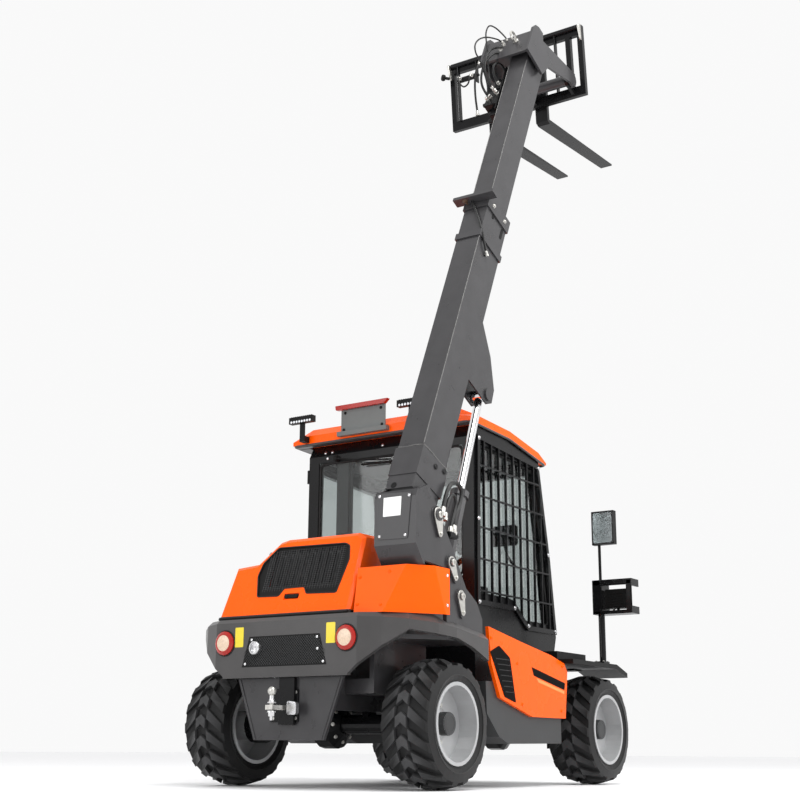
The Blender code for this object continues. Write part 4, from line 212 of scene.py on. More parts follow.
def finishes():
    """Every finish on the machine, and the floor's."""
    surface("orange_paint", (0.97, 0.104, 0.0), 0.24, coat=0.04, shade=0.03, grain=0.03, grain_scale=900.0,
        specular=0.08)
    surface("orange_plastic", (0.97, 0.101, 0.0), 0.27, coat=0.03, shade=0.03, grain=0.04, grain_scale=900.0,
        specular=0.14)
    surface("orange_pale", (0.98, 0.26, 0.06), 0.3, coat=0.1, shade=0.03)
    surface("grey_paint", (0.038, 0.037, 0.039), 0.3, coat=0.12, shade=0.12, scale=9.0, grain=0.07, grain_scale=420.0)
    surface("grey_moulding", (0.052, 0.05, 0.05), 0.33, coat=0.1, shade=0.1, grain=0.08, grain_scale=600.0)
    surface("pod_grey", (0.036, 0.037, 0.038), 0.44, shade=0.1, grain=0.14, grain_scale=500.0)
    surface("black_paint", (0.005, 0.005, 0.0055), 0.28, coat=0.06, shade=0.15, grain=0.05, specular=0.16)
    surface("black_trim", (0.0025, 0.0025, 0.0025), 0.62, shade=0.2, grain=0.2, grain_scale=700.0, specular=0.06)
    surface("black_plastic", (0.006, 0.006, 0.006), 0.45, shade=0.15, grain=0.22, grain_scale=700.0, specular=0.14)
    surface("rubber", (0.011, 0.011, 0.011), 0.52, shade=0.3, scale=16.0, grain=0.35, grain_scale=300.0,
        extra={"Sheen Weight": 0.05, "Sheen Roughness": 0.5})
    for place, x in AXLES:
        tread("rubber_" + place, x)
    surface("plate_grey", (0.115, 0.122, 0.12), 0.34, coat=0.1, shade=0.08, grain=0.05)
    surface("seal_rubber", (0.01, 0.01, 0.01), 0.6, shade=0.15, grain=0.2)
    surface("hose_rubber", (0.013, 0.013, 0.013), 0.42, shade=0.2, scale=30.0, grain=0.3, grain_scale=900.0)
    surface("rim_silver", (0.44, 0.445, 0.45), 0.38, metallic=0.45, coat=0.1, shade=0.06)
    surface("chrome", (0.76, 0.76, 0.77), 0.1, metallic=1.0, shade=0.02, spread=0.03)
    surface("zinc", (0.54, 0.53, 0.5), 0.34, metallic=0.85, shade=0.14, scale=45.0, grain=0.12)
    surface("steel_bright", (0.72, 0.72, 0.73), 0.22, metallic=0.95, shade=0.08, scale=30.0, grain=0.05)
    # Weld beads, lighter than the paint; on the boom's corner seams this light grey is also a painted highlight.
    surface("weld", (0.135, 0.133, 0.13), 0.42, metallic=0.3, shade=0.25, scale=90.0, grain=0.5, grain_scale=250.0)
    surface("knob_brown", (0.075, 0.045, 0.028), 0.45, shade=0.2, scale=40.0, grain=0.2)
    surface("iron", (0.05, 0.05, 0.052), 0.6, metallic=0.2, shade=0.2, grain=0.5, grain_scale=250.0)
    surface("radiator_core", (0.06, 0.061, 0.06), 0.4, metallic=0.6, shade=0.25, scale=30.0, grain=0.3)
    surface("seat_cloth", (0.03, 0.031, 0.033), 0.85, shade=0.2, grain=0.6, grain_scale=900.0,
        extra={"Sheen Weight": 0.4, "Sheen Roughness": 0.4})
    surface("lamp_red", (0.34, 0.01, 0.005), 0.2, coat=0.2, shade=0.06)
    surface("lamp_cream", (0.66, 0.5, 0.37), 0.18, coat=0.6, shade=0.14, scale=130.0, grain=0.5, grain_scale=260.0)
    surface("lamp_clear", (0.72, 0.75, 0.78), 0.12, metallic=0.3, coat=0.8, shade=0.15, scale=160.0)
    surface("mirror", (0.62, 0.64, 0.66), 0.16, metallic=1.0, shade=0.04, spread=0.01)
    surface("label_yellow", (0.72, 0.58, 0.03), 0.38, coat=0.3, shade=0.03, grain=0.04)
    surface("label_white", (0.86, 0.86, 0.85), 0.4, coat=0.2, shade=0.02, grain=0.04)
    surface("headliner", (0.2, 0.2, 0.2), 0.8, shade=0.1, grain=0.5, grain_scale=700.0)
    surface("glass", (0.6, 0.635, 0.63), 0.03, shade=0.01, spread=0.01, extra={"Transmission Weight": 1.0,
        "IOR": 1.45})
    surface("floor", (0.93, 0.93, 0.94), 0.55, shade=0.01, scale=0.7)


NODE_FINISH = {
    "orange_paint": ("tower_cover",),
    "orange_plastic": ("engine_hood", "side_panel_right", "cab_roof"),
    "grey_paint": (
        "chassis_frame", "boom_tower", "tower_rear_plate", "boom_outer", "boom_inner", "lift_barrel", "hitch_plate",
    ),
    "grey_moulding": ("rear_body",),
    "pod_grey": ("side_box_left", "side_box_right"),
    "black_paint": (
        "rear_axle", "front_axle", "knuckle_left", "knuckle_right", "cab_frame", "cab_door", "window_guard",
        "fork_carriage", "fork_left", "fork_right", "mirror_post",
    ),
    "black_plastic": (
        "rear_grille", "hood_grille", "front_fender_left", "front_fender_right", "front_work_lamp", "door_mirror",
        "steering_wheel", "work_lamp_left", "work_lamp_right",
    ),
    "plate_grey": ("plate_holder",),
    "rubber_rear": ("tyre_rear_left", "tyre_rear_right"),
    "rubber_front": ("tyre_front_left", "tyre_front_right"),
    "rim_silver": ("rim_rear_left", "rim_rear_right", "rim_front_left", "rim_front_right"),
    "chrome": ("lift_rod",),
    "zinc": ("tow_hitch",),
    "iron": ("engine_block",),
    "lamp_red": ("tail_lamp_left", "tail_lamp_right"),
    "glass": ("rear_window", "right_window", "windscreen", "door_glass"),
}


def dress_nodes():
    """Gives every solid of the frame its finish."""
    for finish, nodes in NODE_FINISH.items():
        for node in nodes:
            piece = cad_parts[node]
            piece.data.materials.clear()
            piece.data.materials.append(MATERIALS[finish])


def at(x, y, z):
    """A machine-frame point in the row frame."""
    return ORIGIN + Vector((x, y, z))


def boom(along, across, up):
    """A boom-frame point in the row frame, with the boom at rest."""
    cosine = math.cos(BOOM_ANGLE)
    sine = math.sin(BOOM_ANGLE)
    return ORIGIN + BOOM_PIVOT + Vector((along * cosine - up * sine, across, along * sine + up * cosine))


def carriage(x, y, z):
    """A point of the fork carriage's own frame in the row frame, with the carriage at rest."""
    cosine = math.cos(FORK_TILT)
    sine = math.sin(FORK_TILT)
    return ORIGIN + TILT_PIVOT + Vector((x * cosine - z * sine, y, x * sine + z * cosine))


BOOM_UP = boom(0, 0, 1) - boom(0, 0, 0)


def points(place, rows):
    """Rows of three numbers, each taken through one of the frames above."""
    return [place(*row) for row in rows]


def on_x(x, rows):
    """Points of a plane across the machine, from their y and z."""
    return [at(x, y, z) for y, z in rows]


def on_y(y, rows):
    """Points of a plane along the machine, from their x and z."""
    return [at(x, y, z) for x, z in rows]


def turns(count):
    """Evenly spaced angles round a full circle."""
    return [2 * math.pi * step / count for step in range(count)]


def circle(first, second, radius, angles):
    """Pairs of numbers on a circle round a centre, one for each angle."""
    return [(first + radius * math.cos(turn), second + radius * math.sin(turn)) for turn in angles]


def arc(start, first, last, step):
    """Angles beyond a start, from one number of degrees up to another."""
    return [start + math.radians(turn) for turn in range(first, last + 1, step)]


def seat(node, start, direction):
    """Where a line from a start first meets a node, and the surface's normal towards the start."""
    if node not in TREES:
        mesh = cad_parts[node].data
        TREES[node] = BVHTree.FromPolygons([vertex.co.copy() for vertex in mesh.vertices],
            [tuple(face.vertices) for face in mesh.polygons])
    ray = Vector(direction).normalized()
    point, normal, _, _ = TREES[node].ray_cast(Vector(start), ray)
    if point is None:
        raise ValueError("no surface of " + node + " from " + str(tuple(start)))
    return point, (normal if normal.dot(ray) < 0 else -normal)


def finished(name, bm, finish, body="machine", angle=35.0):
    """Turns a bmesh into a piece with its finish and body."""
    bmesh.ops.recalc_face_normals(bm, faces=bm.faces)
    mesh = bpy.data.meshes.new(name)
    bm.to_mesh(mesh)
    bm.free()
    mesh.materials.append(MATERIALS[finish])
    mesh.shade_smooth()
    mesh.set_sharp_from_angle(angle=math.radians(angle))
    piece = bpy.data.objects.new(name, mesh)
    bpy.context.scene.collection.objects.link(piece)
    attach(piece, body)
    return piece


def merge(target, part):
    """Adds one bmesh to another."""
    mesh = bpy.data.meshes.new("part")
    part.to_mesh(mesh)
    part.free()
    target.from_mesh(mesh)
    bpy.data.meshes.remove(mesh)


def frame_of(direction):
    """Two unit vectors across a direction, the second pointing upward where it can, and the direction itself."""
    along = Vector(direction).normalized()
    helper = Vector((0, 0, 1)) if abs(along.z) < 0.9 else Vector((1, 0, 0))
    side = helper.cross(along).normalized()
    return side, along.cross(side).normalized(), along


def ring(bm, middle, side, rise, radius, steps):
    """Vertices on a circle that lies across two unit vectors."""
    return [bm.verts.new(middle + (side * math.cos(turn) + rise * math.sin(turn)) * radius) for turn in turns(steps)]


def skin(bm, rings, closed=False):
    """Faces between neighbouring rings, and over the two ends unless the rings run round to the first."""
    pairs = list(zip(rings, rings[1:]))
    if closed:
        pairs.append((rings[-1], rings[0]))
    for low, high in pairs:
        for step in range(len(low)):
            after = (step + 1) % len(low)
            bm.faces.new((low[step], low[after], high[after], high[step]))
    if not closed:
        bm.faces.new(rings[0])
        bm.faces.new(rings[-1])
    return bm


def lathe(centre, direction, profile, steps=20, unit=MILLIMETRE):
    """A turned solid from (radius, along) pairs, told in a unit; its ends are closed by fans."""
    side, rise, along = frame_of(direction)
    bm = bmesh.new()
    return skin(bm, [ring(bm, Vector(centre) + along * (height * unit), side, rise, radius * unit, steps)
        for radius, height in profile])


def slab(corners, thickness, edge=0.0, segments=2):
    """A plate from its corner points, thickened along a vector, with its edges rounded."""
    bm = bmesh.new()
    low = [bm.verts.new(Vector(corner)) for corner in corners]
    high = [bm.verts.new(Vector(corner) + Vector(thickness)) for corner in corners]
    bm.faces.new(low)
    bm.faces.new(high)
    for index in range(len(low)):
        after = (index + 1) % len(low)
        bm.faces.new((low[index], low[after], high[after], high[index]))
    bmesh.ops.recalc_face_normals(bm, faces=bm.faces)
    if edge:
        bmesh.ops.bevel(bm, geom=bm.edges[:], offset=edge, segments=segments, affect="EDGES", clamp_overlap=True)
    return bm


def block(low, high, edge, segments=2):
    """A rounded block between two machine-frame corners."""
    (x0, y0, z0), (x1, y1, z1) = low, high
    corners = points(at, ((x0, y0, z0), (x1, y0, z0), (x1, y1, z0), (x0, y1, z0)))
    return slab(corners, (0, 0, z1 - z0), edge, segments)


def rounded(outline, radius, steps=4):
    """A planar outline with each corner rounded by a small curve."""
    corners = [Vector(point) for point in outline]
    result = []
    for index, corner in enumerate(corners):
        before = corners[index - 1] - corner
        after = corners[(index + 1) % len(corners)] - corner
        reach = min(radius, before.length / 2.2, after.length / 2.2)
        start = corner + before.normalized() * reach
        end = corner + after.normalized() * reach
        for step in range(steps + 1):
            share = step / steps
            result.append(start * (1 - share) ** 2 + corner * 2 * share * (1 - share) + end * share ** 2)
    return result


def smooth_path(knots, steps=6, closed=False):
    """A Catmull-Rom curve through its knots."""
    knots = [Vector(point) for point in knots]
    count = len(knots)
    spans = count if closed else count - 1
    result = []
    for index in range(spans):
        if closed:
            four = [knots[(index + shift) % count] for shift in (-1, 0, 1, 2)]
        else:
            four = [knots[min(max(index + shift, 0), count - 1)] for shift in (-1, 0, 1, 2)]
        a, b, c, d = four
        for step in range(steps):
            t = step / steps
            result.append(0.5 * ((2 * b) + (c - a) * t + (2 * a - 5 * b + 4 * c - d) * t ** 2
                + (3 * b - a - 3 * c + d) * t ** 3))
    if not closed:
        result.append(knots[-1])
    return result


def tube(path, radius, sides=8, closed=False):
    """A round tube along a path, its rings carried round without twist."""
    bm = bmesh.new()
    count = len(path)
    rings = []
    side = None
    for index, point in enumerate(path):
        before = path[index - 1] if (index or closed) else point
        after = path[(index + 1) % count] if (index < count - 1 or closed) else point
        along = (after - before).normalized()
        if side is None:
            side = frame_of(along)[0]
        side = (side - along * side.dot(along)).normalized()
        width = radius(index / (count - 1)) if callable(radius) else radius
        rings.append(ring(bm, point, side, along.cross(side), width, sides))
    return skin(bm, rings, closed)


def hose(name, path, radius, body="machine", ends=True):
    """A held hose through its points, with a crimped ferrule and nut at both ends."""
    path = smooth_path(path)
    finished(name, tube(path, radius, 10), "hose_rubber", body)
    if ends:
        fittings = bmesh.new()
        for tip, inner in ((path[0], path[2]), (path[-1], path[-3])):
            along = (inner - tip).normalized()
            merge(fittings, lathe(tip - along * radius, along, [(1.75, 0), (1.75, 1.6), (1.35, 1.9), (1.35, 4.2),
                (1.1, 4.6)], 12, radius))
        finished(name + "_ends", fittings, "zinc", body)


def bolt(centre, normal, radius):
    """A hexagon bolt on its washer."""
    foot = -SINK / radius
    bm = lathe(centre, normal, [(1.32, foot), (1.32, 0.16), (1.26, 0.2), (1, 0.2)], 16, radius)
    merge(bm, lathe(centre, normal, [(1, 0.18), (1, 0.78), (0.86, 0.9), (0.3, 0.9)], 6, radius))
    return bm


def button(centre, normal, radius):
    """A low round-headed screw."""
    profile = [(1, -SINK / radius), (1, 0.2), (0.85, 0.45), (0.5, 0.62), (0.22, 0.66), (0.2, 0.4)]
    return lathe(centre, normal, profile, 14, radius)


def fasteners(name, node, starts, direction, radius, finish, body="machine", shape=bolt):
    """A set of bolts or screws, each seated on a node along a direction from its start."""
    bm = bmesh.new()
    for start in starts:
        point, normal = seat(node, start, direction)
        merge(bm, shape(point, normal, radius))
    finished(name, bm, finish, body)


def bead(name, path, radius, body="machine", finish="weld", closed=False):
    """A weld bead with its ripples along a line of points."""
    path = smooth_path(path, 14, closed)
    count = len(path)
    bm = tube(path, lambda share: radius * (1.0 + 0.16 * math.sin(share * count * 1.9)), 7, closed)
    finished(name, bm, finish, body, angle=60.0)


def rear_fittings():
    """Lamp lenses, blank labels, the bumper grille's mesh and outlet, the seal under the hood and the hitch."""
    bumper_x, lamp_y, lamp_z, label_y, label_z = -0.4712, 0.43, 0.8, 0.325, 0.83
    for hand, side in SIDES:
        finished("tail_lens_" + hand, lathe(at(-0.4888, side * lamp_y, lamp_z), (-1, 0, 0), [
            (47, -6), (47.5, 0), (44, 2.8), (36, 4.6), (22, 6), (6, 6.6),
        ], 28), "lamp_cream")
        bezel = on_x(bumper_x, circle(side * lamp_y, lamp_z, 0.0715, turns(32)))
        finished("tail_bezel_" + hand, tube(bezel, 0.0042, 8, True), "seal_rubber")
        label = on_x(-0.4702, [(side * label_y + y, label_z + z) for y, z in (
            (-0.031, -0.056), (0.031, -0.056), (0.031, 0.056), (-0.031, 0.056))])
        finished("blank_label_" + hand, slab(rounded(label, 0.006), (-0.0012, 0, 0), 0.0003, 1), "label_yellow")
    mesh = bmesh.new()
    # How far each wire of the mesh leans over half the grille's height
    run = 0.078
    for step in range(-17, 18):
        for lean in (-run, run):
            foot = step * 0.0165
            low = max(-0.288, min(0.288, foot - lean))
            high = max(-0.252, min(0.252, foot + lean))
            if abs(low - high) < 0.03:
                continue
            z_low = 0.668 + 0.154 * (low - (foot - lean)) / (2 * lean)
            z_high = 0.822 + 0.154 * (high - (foot + lean)) / (2 * lean)
            merge(mesh, tube(on_x(bumper_x, ((low, z_low), (high, z_high))), 0.0014, 4))
    finished("grille_mesh", mesh, "pod_grey")
    fasteners("grille_screws", "rear_grille", on_x(-0.6, ((0.232, 0.812), (-0.232, 0.812), (-0.236, 0.748),
        (-0.276, 0.678), (0.276, 0.678))), (1, 0, 0), 0.0085, "steel_bright", shape=button)
    finished("outlet_pipe", lathe(at(-0.455, 0.193, 0.765), (-1, 0.12, 0.0), [
        (30, 0), (36, 4), (36, 22), (39, 26), (39, 36), (36, 41), (31, 41),
        (30, 22), (12, 18),
    ], 26), "steel_bright")
    seal = points(at, ((-0.414, -0.395, 0.948), (-0.414, 0.525, 0.948), (-0.4, 0.5415, 0.948),
        (0.325, 0.5415, 0.948)))
    finished("hood_seal", tube(seal, 0.0095, 8), "seal_rubber")
    plate = rounded(on_x(-0.4103, ((-0.074, 0.357), (0.122, 0.357), (0.128, 0.538), (-0.069, 0.538))), 0.008)
    finished("coupling_plate", slab(plate, (-0.009, 0, 0), 0.002), "black_paint")
    fasteners("coupling_bolts", "hitch_plate", on_x(-0.6, ((-0.055, 0.377), (0.103, 0.377), (0.108, 0.519),
        (-0.053, 0.519))), (1, 0, 0), 0.011, "zinc")
    cover = block((-0.435, -0.054, 0.342), (-0.411, 0.054, 0.5985), 0.0015, 1)
    finished("coupling_back", cover, "black_paint")
    coupling = bmesh.new()
    for z, rise, steps, profile in (
        (0.415, -1, 20, [(22, 0), (24.3, 4), (24.3, 10)]),
        (0.405, -1, 6, [(19, 0), (19, 18), (16, 21), (10, 21)]),
        (0.388, -1, 14, [(10, 0), (10, 22), (7, 25)]),
        (0.455, 1, 20, [(24, 0), (24, 6), (17, 12), (13.5, 24), (13.5, 40)]),
    ):
        merge(coupling, lathe(at(-0.56, 0.0, z), (0, 0, rise), profile, steps))
    handle = on_x(-0.452, ((-0.105, 0.395), (-0.04, 0.395), (-0.04, 0.47), (-0.105, 0.462)))
    merge(coupling, slab(rounded(handle, 0.012), (-0.03, 0, 0), 0.003))
    finished("coupling_fittings", coupling, "steel_bright")
    for hand, side in SIDES:
        seam = on_x(-0.412, [(side * 0.352 * (1 - 0.34 * share), 0.592 - 0.326 * share)
            for share in (0.0, 0.25, 0.5, 0.75, 1.0)])
        bead("hitch_weld_" + hand, seam, 0.0035, finish="grey_paint")


def hood_fittings():
    """The hood's latch, the rubber and mesh of its grille, and the radiator and air filter under it."""
    # The rear face leans forward by this much a metre, from this height
    lean, foot_z = 0.355, 0.96
    slope = Vector((lean, 0, 1)).normalized()
    outward = Vector((-1, 0, lean)).normalized()

    def on_face(share_y, share_z, proud):
        """A point over the rear face, from its shares of the width and height."""
        z = foot_z + 0.45 * share_z
        return at(-0.41 + lean * (z - foot_z), -0.4 + 0.94 * share_y, z) + outward * proud

    centre = on_face(0.458, 0.217, -0.006)
    latch = slab(rounded([centre + Vector((0, y, 0)) + slope * up for y, up in (
        (-0.046, -0.011), (0.046, -0.011), (0.05, 0.012), (-0.05, 0.012))], 0.005), outward * 0.009, 0.002)
    merge(latch, lathe(centre + Vector((0, 0.028, 0)) + outward * 0.008, outward, [(8, 0), (8, 3), (5, 3.5)], 14))
    finished("hood_latch", latch, "black_plastic", "hood")
    window = [on_face(y, z, 0.0005) for y, z in ((0.746, 0.696), (0.653, 0.893), (0.138, 0.873), (0.101, 0.836),
        (0.081, 0.656), (0.122, 0.227), (0.347, 0.242), (0.374, 0.333), (0.529, 0.329), (0.56, 0.231), (0.727, 0.24),
        (0.766, 0.529))]
    finished("hood_window_rubber", tube(rounded(window, 0.012, 3), 0.0042, 6, True), "seal_rubber", "hood")
    mesh = bmesh.new()
    for step in range(30):
        share = 0.145 + step * 0.0192
        merge(mesh, tube([on_face(share, 0.3, -0.004), on_face(share, 0.85, -0.004)], 0.0013, 4))
    for step in range(20):
        share = 0.34 + step * 0.0265
        merge(mesh, tube([on_face(0.125, share, -0.005), on_face(0.7, share, -0.005)], 0.0013, 4))
    finished("hood_mesh", mesh, "iron", "hood")
    core = block((-0.235, -0.27, 0.955), (-0.205, 0.3, 1.335), 0.004, 1)
    for step in range(46):
        y = -0.255 + step * 0.0119
        merge(core, tube(points(at, ((-0.238, y, 0.985), (-0.238, y, 1.305))), 0.0028, 5))
    for z in (1.31, 0.945):
        merge(core, block((-0.25, -0.28, z), (-0.195, 0.31, z + 0.035), 0.008))
    finished("radiator", core, "radiator_core")
    hose("radiator_hose", points(at, ((-0.22, 0.2, 1.325), (-0.17, 0.2, 1.35), (-0.1, 0.17, 1.33),
        (-0.04, 0.14, 1.26), (0.02, 0.12, 1.2), (0.06, 0.11, 1.155))), 0.018, ends=False)
    finished("air_filter", lathe(at(0.1, -0.2, 1.215), (0, 1, 0), [(30, 0), (58, 6), (62, 20), (62, 225), (66, 230),
        (66, 245), (58, 252), (30, 262), (12, 264)], 24), "black_plastic")


def tower_fittings():
    """Zinc pin retainers, the cover plate with its blank sign, screws and the hoses at the boom's foot."""
    # The retainers' plane beside the right cheek, and the rear plate's face
    cheek_y, rear_x = -0.8325, -0.3806
    retainers = ((-0.17, 1.48, -80, 0.0445, 0.105), (-0.03, 1.23, -62, 0.036, 0.09), (0.07, 1.05, -78, 0.036, 0.09))
    for number, (x, z, lean, radius, length) in enumerate(retainers, 1):
        aim = math.radians(lean)
        tip = (x + length * math.cos(aim), z + length * math.sin(aim))
        outline = circle(x, z, radius, arc(aim, 70, 290, 20)) + circle(*tip, 0.02, arc(aim, -70, 70, 20))
        plate = slab(on_y(cheek_y, outline), (0, -0.006, 0), 0.0012, 1)
        merge(plate, lathe(at(tip[0], cheek_y - 0.005, tip[1]), (0, -1, 0), [
            (13, 0), (13, 2), (10, 2.2), (10, 9), (8, 10)], 6))
        boss_y = seat("boom_tower", at(x, -1.2, z), (0, 1, 0))[0].y - ORIGIN.y
        merge(plate, lathe(at(x, boss_y + 0.001, z), (0, -1, 0), [(20, 0), (20, 8), (17, 11), (8, 11), (7, 6)], 20))
        finished("pin_retainer_%d" % number, plate, "zinc")
        bead("pin_boss_weld_%d" % number, on_y(-0.8215, circle(x, z, radius + 0.006, turns(10))), 0.003,
            finish="grey_paint", closed=True)
    outline = on_x(rear_x, ((-0.565, 1.33), (-0.768, 1.325), (-0.792, 1.58), (-0.565, 1.588)))
    finished("tower_inset_plate", slab(rounded(outline, 0.012), (-0.004, 0, 0), 0.0012, 1), "grey_paint")
    outline = on_x(rear_x - 0.0042, ((-0.606, 1.456), (-0.722, 1.456), (-0.728, 1.562), (-0.61, 1.562)))
    finished("blank_sign", slab(rounded(outline, 0.004), (-0.0012, 0, 0), 0.0003, 1), "label_white")
    screws = bmesh.new()
    for point in on_x(rear_x - 0.004, ((-0.778, 1.562), (-0.752, 1.345), (-0.583, 1.572), (-0.583, 1.348))):
        merge(screws, button(point, (-1, 0, 0), 0.009))
    finished("tower_plate_screws", screws, "steel_bright")
    fasteners("cover_screws_rear", "tower_cover", on_x(-0.8, ((-0.445, 0.985), (-0.445, 1.135), (-0.6, 0.975),
        (-0.64, 1.155))), (1, 0, 0), 0.0095, "orange_paint", shape=button)
    fasteners("cover_screws_right", "tower_cover", on_y(-1.2, ((-0.085, 0.985), (-0.085, 1.15))), (0, 1, 0), 0.0095,
        "steel_bright", shape=button)
    hose("boom_foot_hose_a", points(at, ((-0.078, -0.8, 1.5), (-0.062, -0.801, 1.55), (-0.04, -0.803, 1.612),
        (-0.004, -0.805, 1.672), (0.043, -0.805, 1.7), (0.097, -0.804, 1.7), (0.133, -0.803, 1.664),
        (0.12, -0.802, 1.6), (0.08, -0.8, 1.532), (0.06, -0.799, 1.48), (0.05, -0.798, 1.41))), 0.0125)
    hose("boom_foot_hose_b", points(at, ((-0.04, -0.794, 1.48), (-0.02, -0.794, 1.54), (0.006, -0.795, 1.595),
        (0.04, -0.795, 1.63), (0.075, -0.795, 1.62), (0.082, -0.794, 1.575), (0.055, -0.794, 1.51),
        (0.03, -0.794, 1.45), (0.018, -0.794, 1.408))), 0.0105)
    finished("tower_hose_block", block((-0.02, -0.818, 1.375), (0.075, -0.779, 1.412), 0.006), "black_paint")


def boom_fittings():
    """Foot plates, weld seams, those on the boom's corners lighter as a painted highlight, plugs, the collar's bands,
    slots, knob and bolts, and the hose that runs to it.
    """
    body = "boom_outer_section"
    up = BOOM_UP.normalized()
    # Half the foot's width and the height of its top
    half, crown = 0.0868, 0.2086
    foot = bmesh.new()
    outline = points(boom, ((0.345, half, crown), (0.345, -half, crown), (0.06, -half, crown), (0.06, half, crown)))
    merge(foot, slab(outline, boom(0, 0, 0.004) - boom(0, 0, 0), 0.0012, 1))
    for across in (0.0862, -0.0902):
        outline = [boom(along, across, high) for along, high in ((0.345, 0.2126), (0.06, 0.2126), (0.03, 0.15),
            (0.06, 0.04), (0.16, -0.048), (0.345, -0.052))]
        merge(foot, slab(outline, (0, 0.004, 0), 0.001, 1))
    finished("boom_foot_plates", foot, "grey_paint", body)
    bead("boom_foot_weld_side", points(boom, ((0.349, -0.087, 0.207), (0.353, -0.0874, 0.12), (0.349, -0.0874, 0.02),
        (0.353, -0.087, -0.05))), 0.0045, body)
    bead("boom_foot_weld_top", points(boom, ((0.35, 0.083, 0.2085), (0.344, 0.03, 0.2088), (0.35, -0.03, 0.2088),
        (0.345, -0.083, 0.2085))), 0.0045, body)
    # A weld seam on the boom's top right corner; its light grey is also a painted highlight along the corner.
    bead("boom_long_weld_and_highlight", [boom(along, -0.0845, 0.2065) for along in (0.36, 0.8, 1.2, 1.6, 1.98)], 0.003, body)
    plugs = bmesh.new()
    for along, high in ((0.292, 0.06), (0.318, -0.03)):
        point, normal = seat("boom_outer", boom(along, -0.6, high), (0, 1, 0))
        merge(plugs, lathe(point + normal * 0.005, normal, [(16.5, -1), (16.5, 1.2), (13.5, 2.2), (6, 1.2)], 18))
    for along, across, radius in ((0.082, 0.04, 19), (0.29, -0.01, 26), (0.262, -0.008, 20), (0.235, -0.006, 14)):
        merge(plugs, lathe(boom(along, across, 0.2128), up, [(radius, -1), (radius, 1.4), (radius * 0.8, 2.2),
            (radius * 0.4, 1.2)], 20))
    finished("boom_plugs", plugs, "black_paint", body)
    for name, along in (("low", 2.02), ("high", 2.335)):
        loop = [boom(along, across, high) for across, high in ((-0.0875, 0.2085), (0.0875, 0.2085), (0.0875, -0.0565),
            (-0.0875, -0.0565))]
        finished("collar_band_" + name, tube(rounded(loop, 0.012, 3), 0.0042, 6, True), "black_paint", body)
    slots = bmesh.new()
    radius = 0.012
    for along, high in ((2.25, 0.12), (2.19, -0.01)):
        outline = []
        for centre, angles in ((0.032, arc(0, -90, 90, 30)), (-0.032, arc(0, 90, 270, 30))):
            outline += [boom(along + (centre + radius * math.cos(turn)), -0.0862, high + radius * math.sin(turn))
                for turn in angles]
        merge(slots, slab(outline, (0, -0.0012, 0), 0.0003, 1))
    finished("collar_slots", slots, "black_plastic", body)
    finished("collar_knob", lathe(boom(2.3, 0.07, 0.208), BOOM_UP, [(26, -1), (26, 6), (12, 9), (12, 26), (21, 32),
        (24, 42), (22, 53), (12, 58)], 18), "knob_brown", body)
    hose("collar_hose", points(boom, ((2.325, 0.04, 0.222), (2.28, 0.02, 0.232), (2.2, -0.02, 0.226),
        (2.11, -0.06, 0.218), (2.03, -0.09, 0.205), (1.96, -0.0985, 0.16), (1.9, -0.0985, 0.1))), 0.0075, body)
    fasteners("collar_pad_bolts", "boom_outer", [boom(2.29, -0.6, high) for high in (0.15, 0.0)], (0, 1, 0), 0.011,
        "zinc", body)
    # Weld seams along the inner boom's top corners; their light grey is also a painted highlight along the corners.
    for name, across in (("right", -0.0705), ("left", 0.0705)):
        bead("inner_boom_weld_and_highlight_" + name, [boom(along, across, 0.186) for along in (2.42, 2.8, 3.2, 3.6, 3.72)], 0.0026,
            "boom_inner_section")


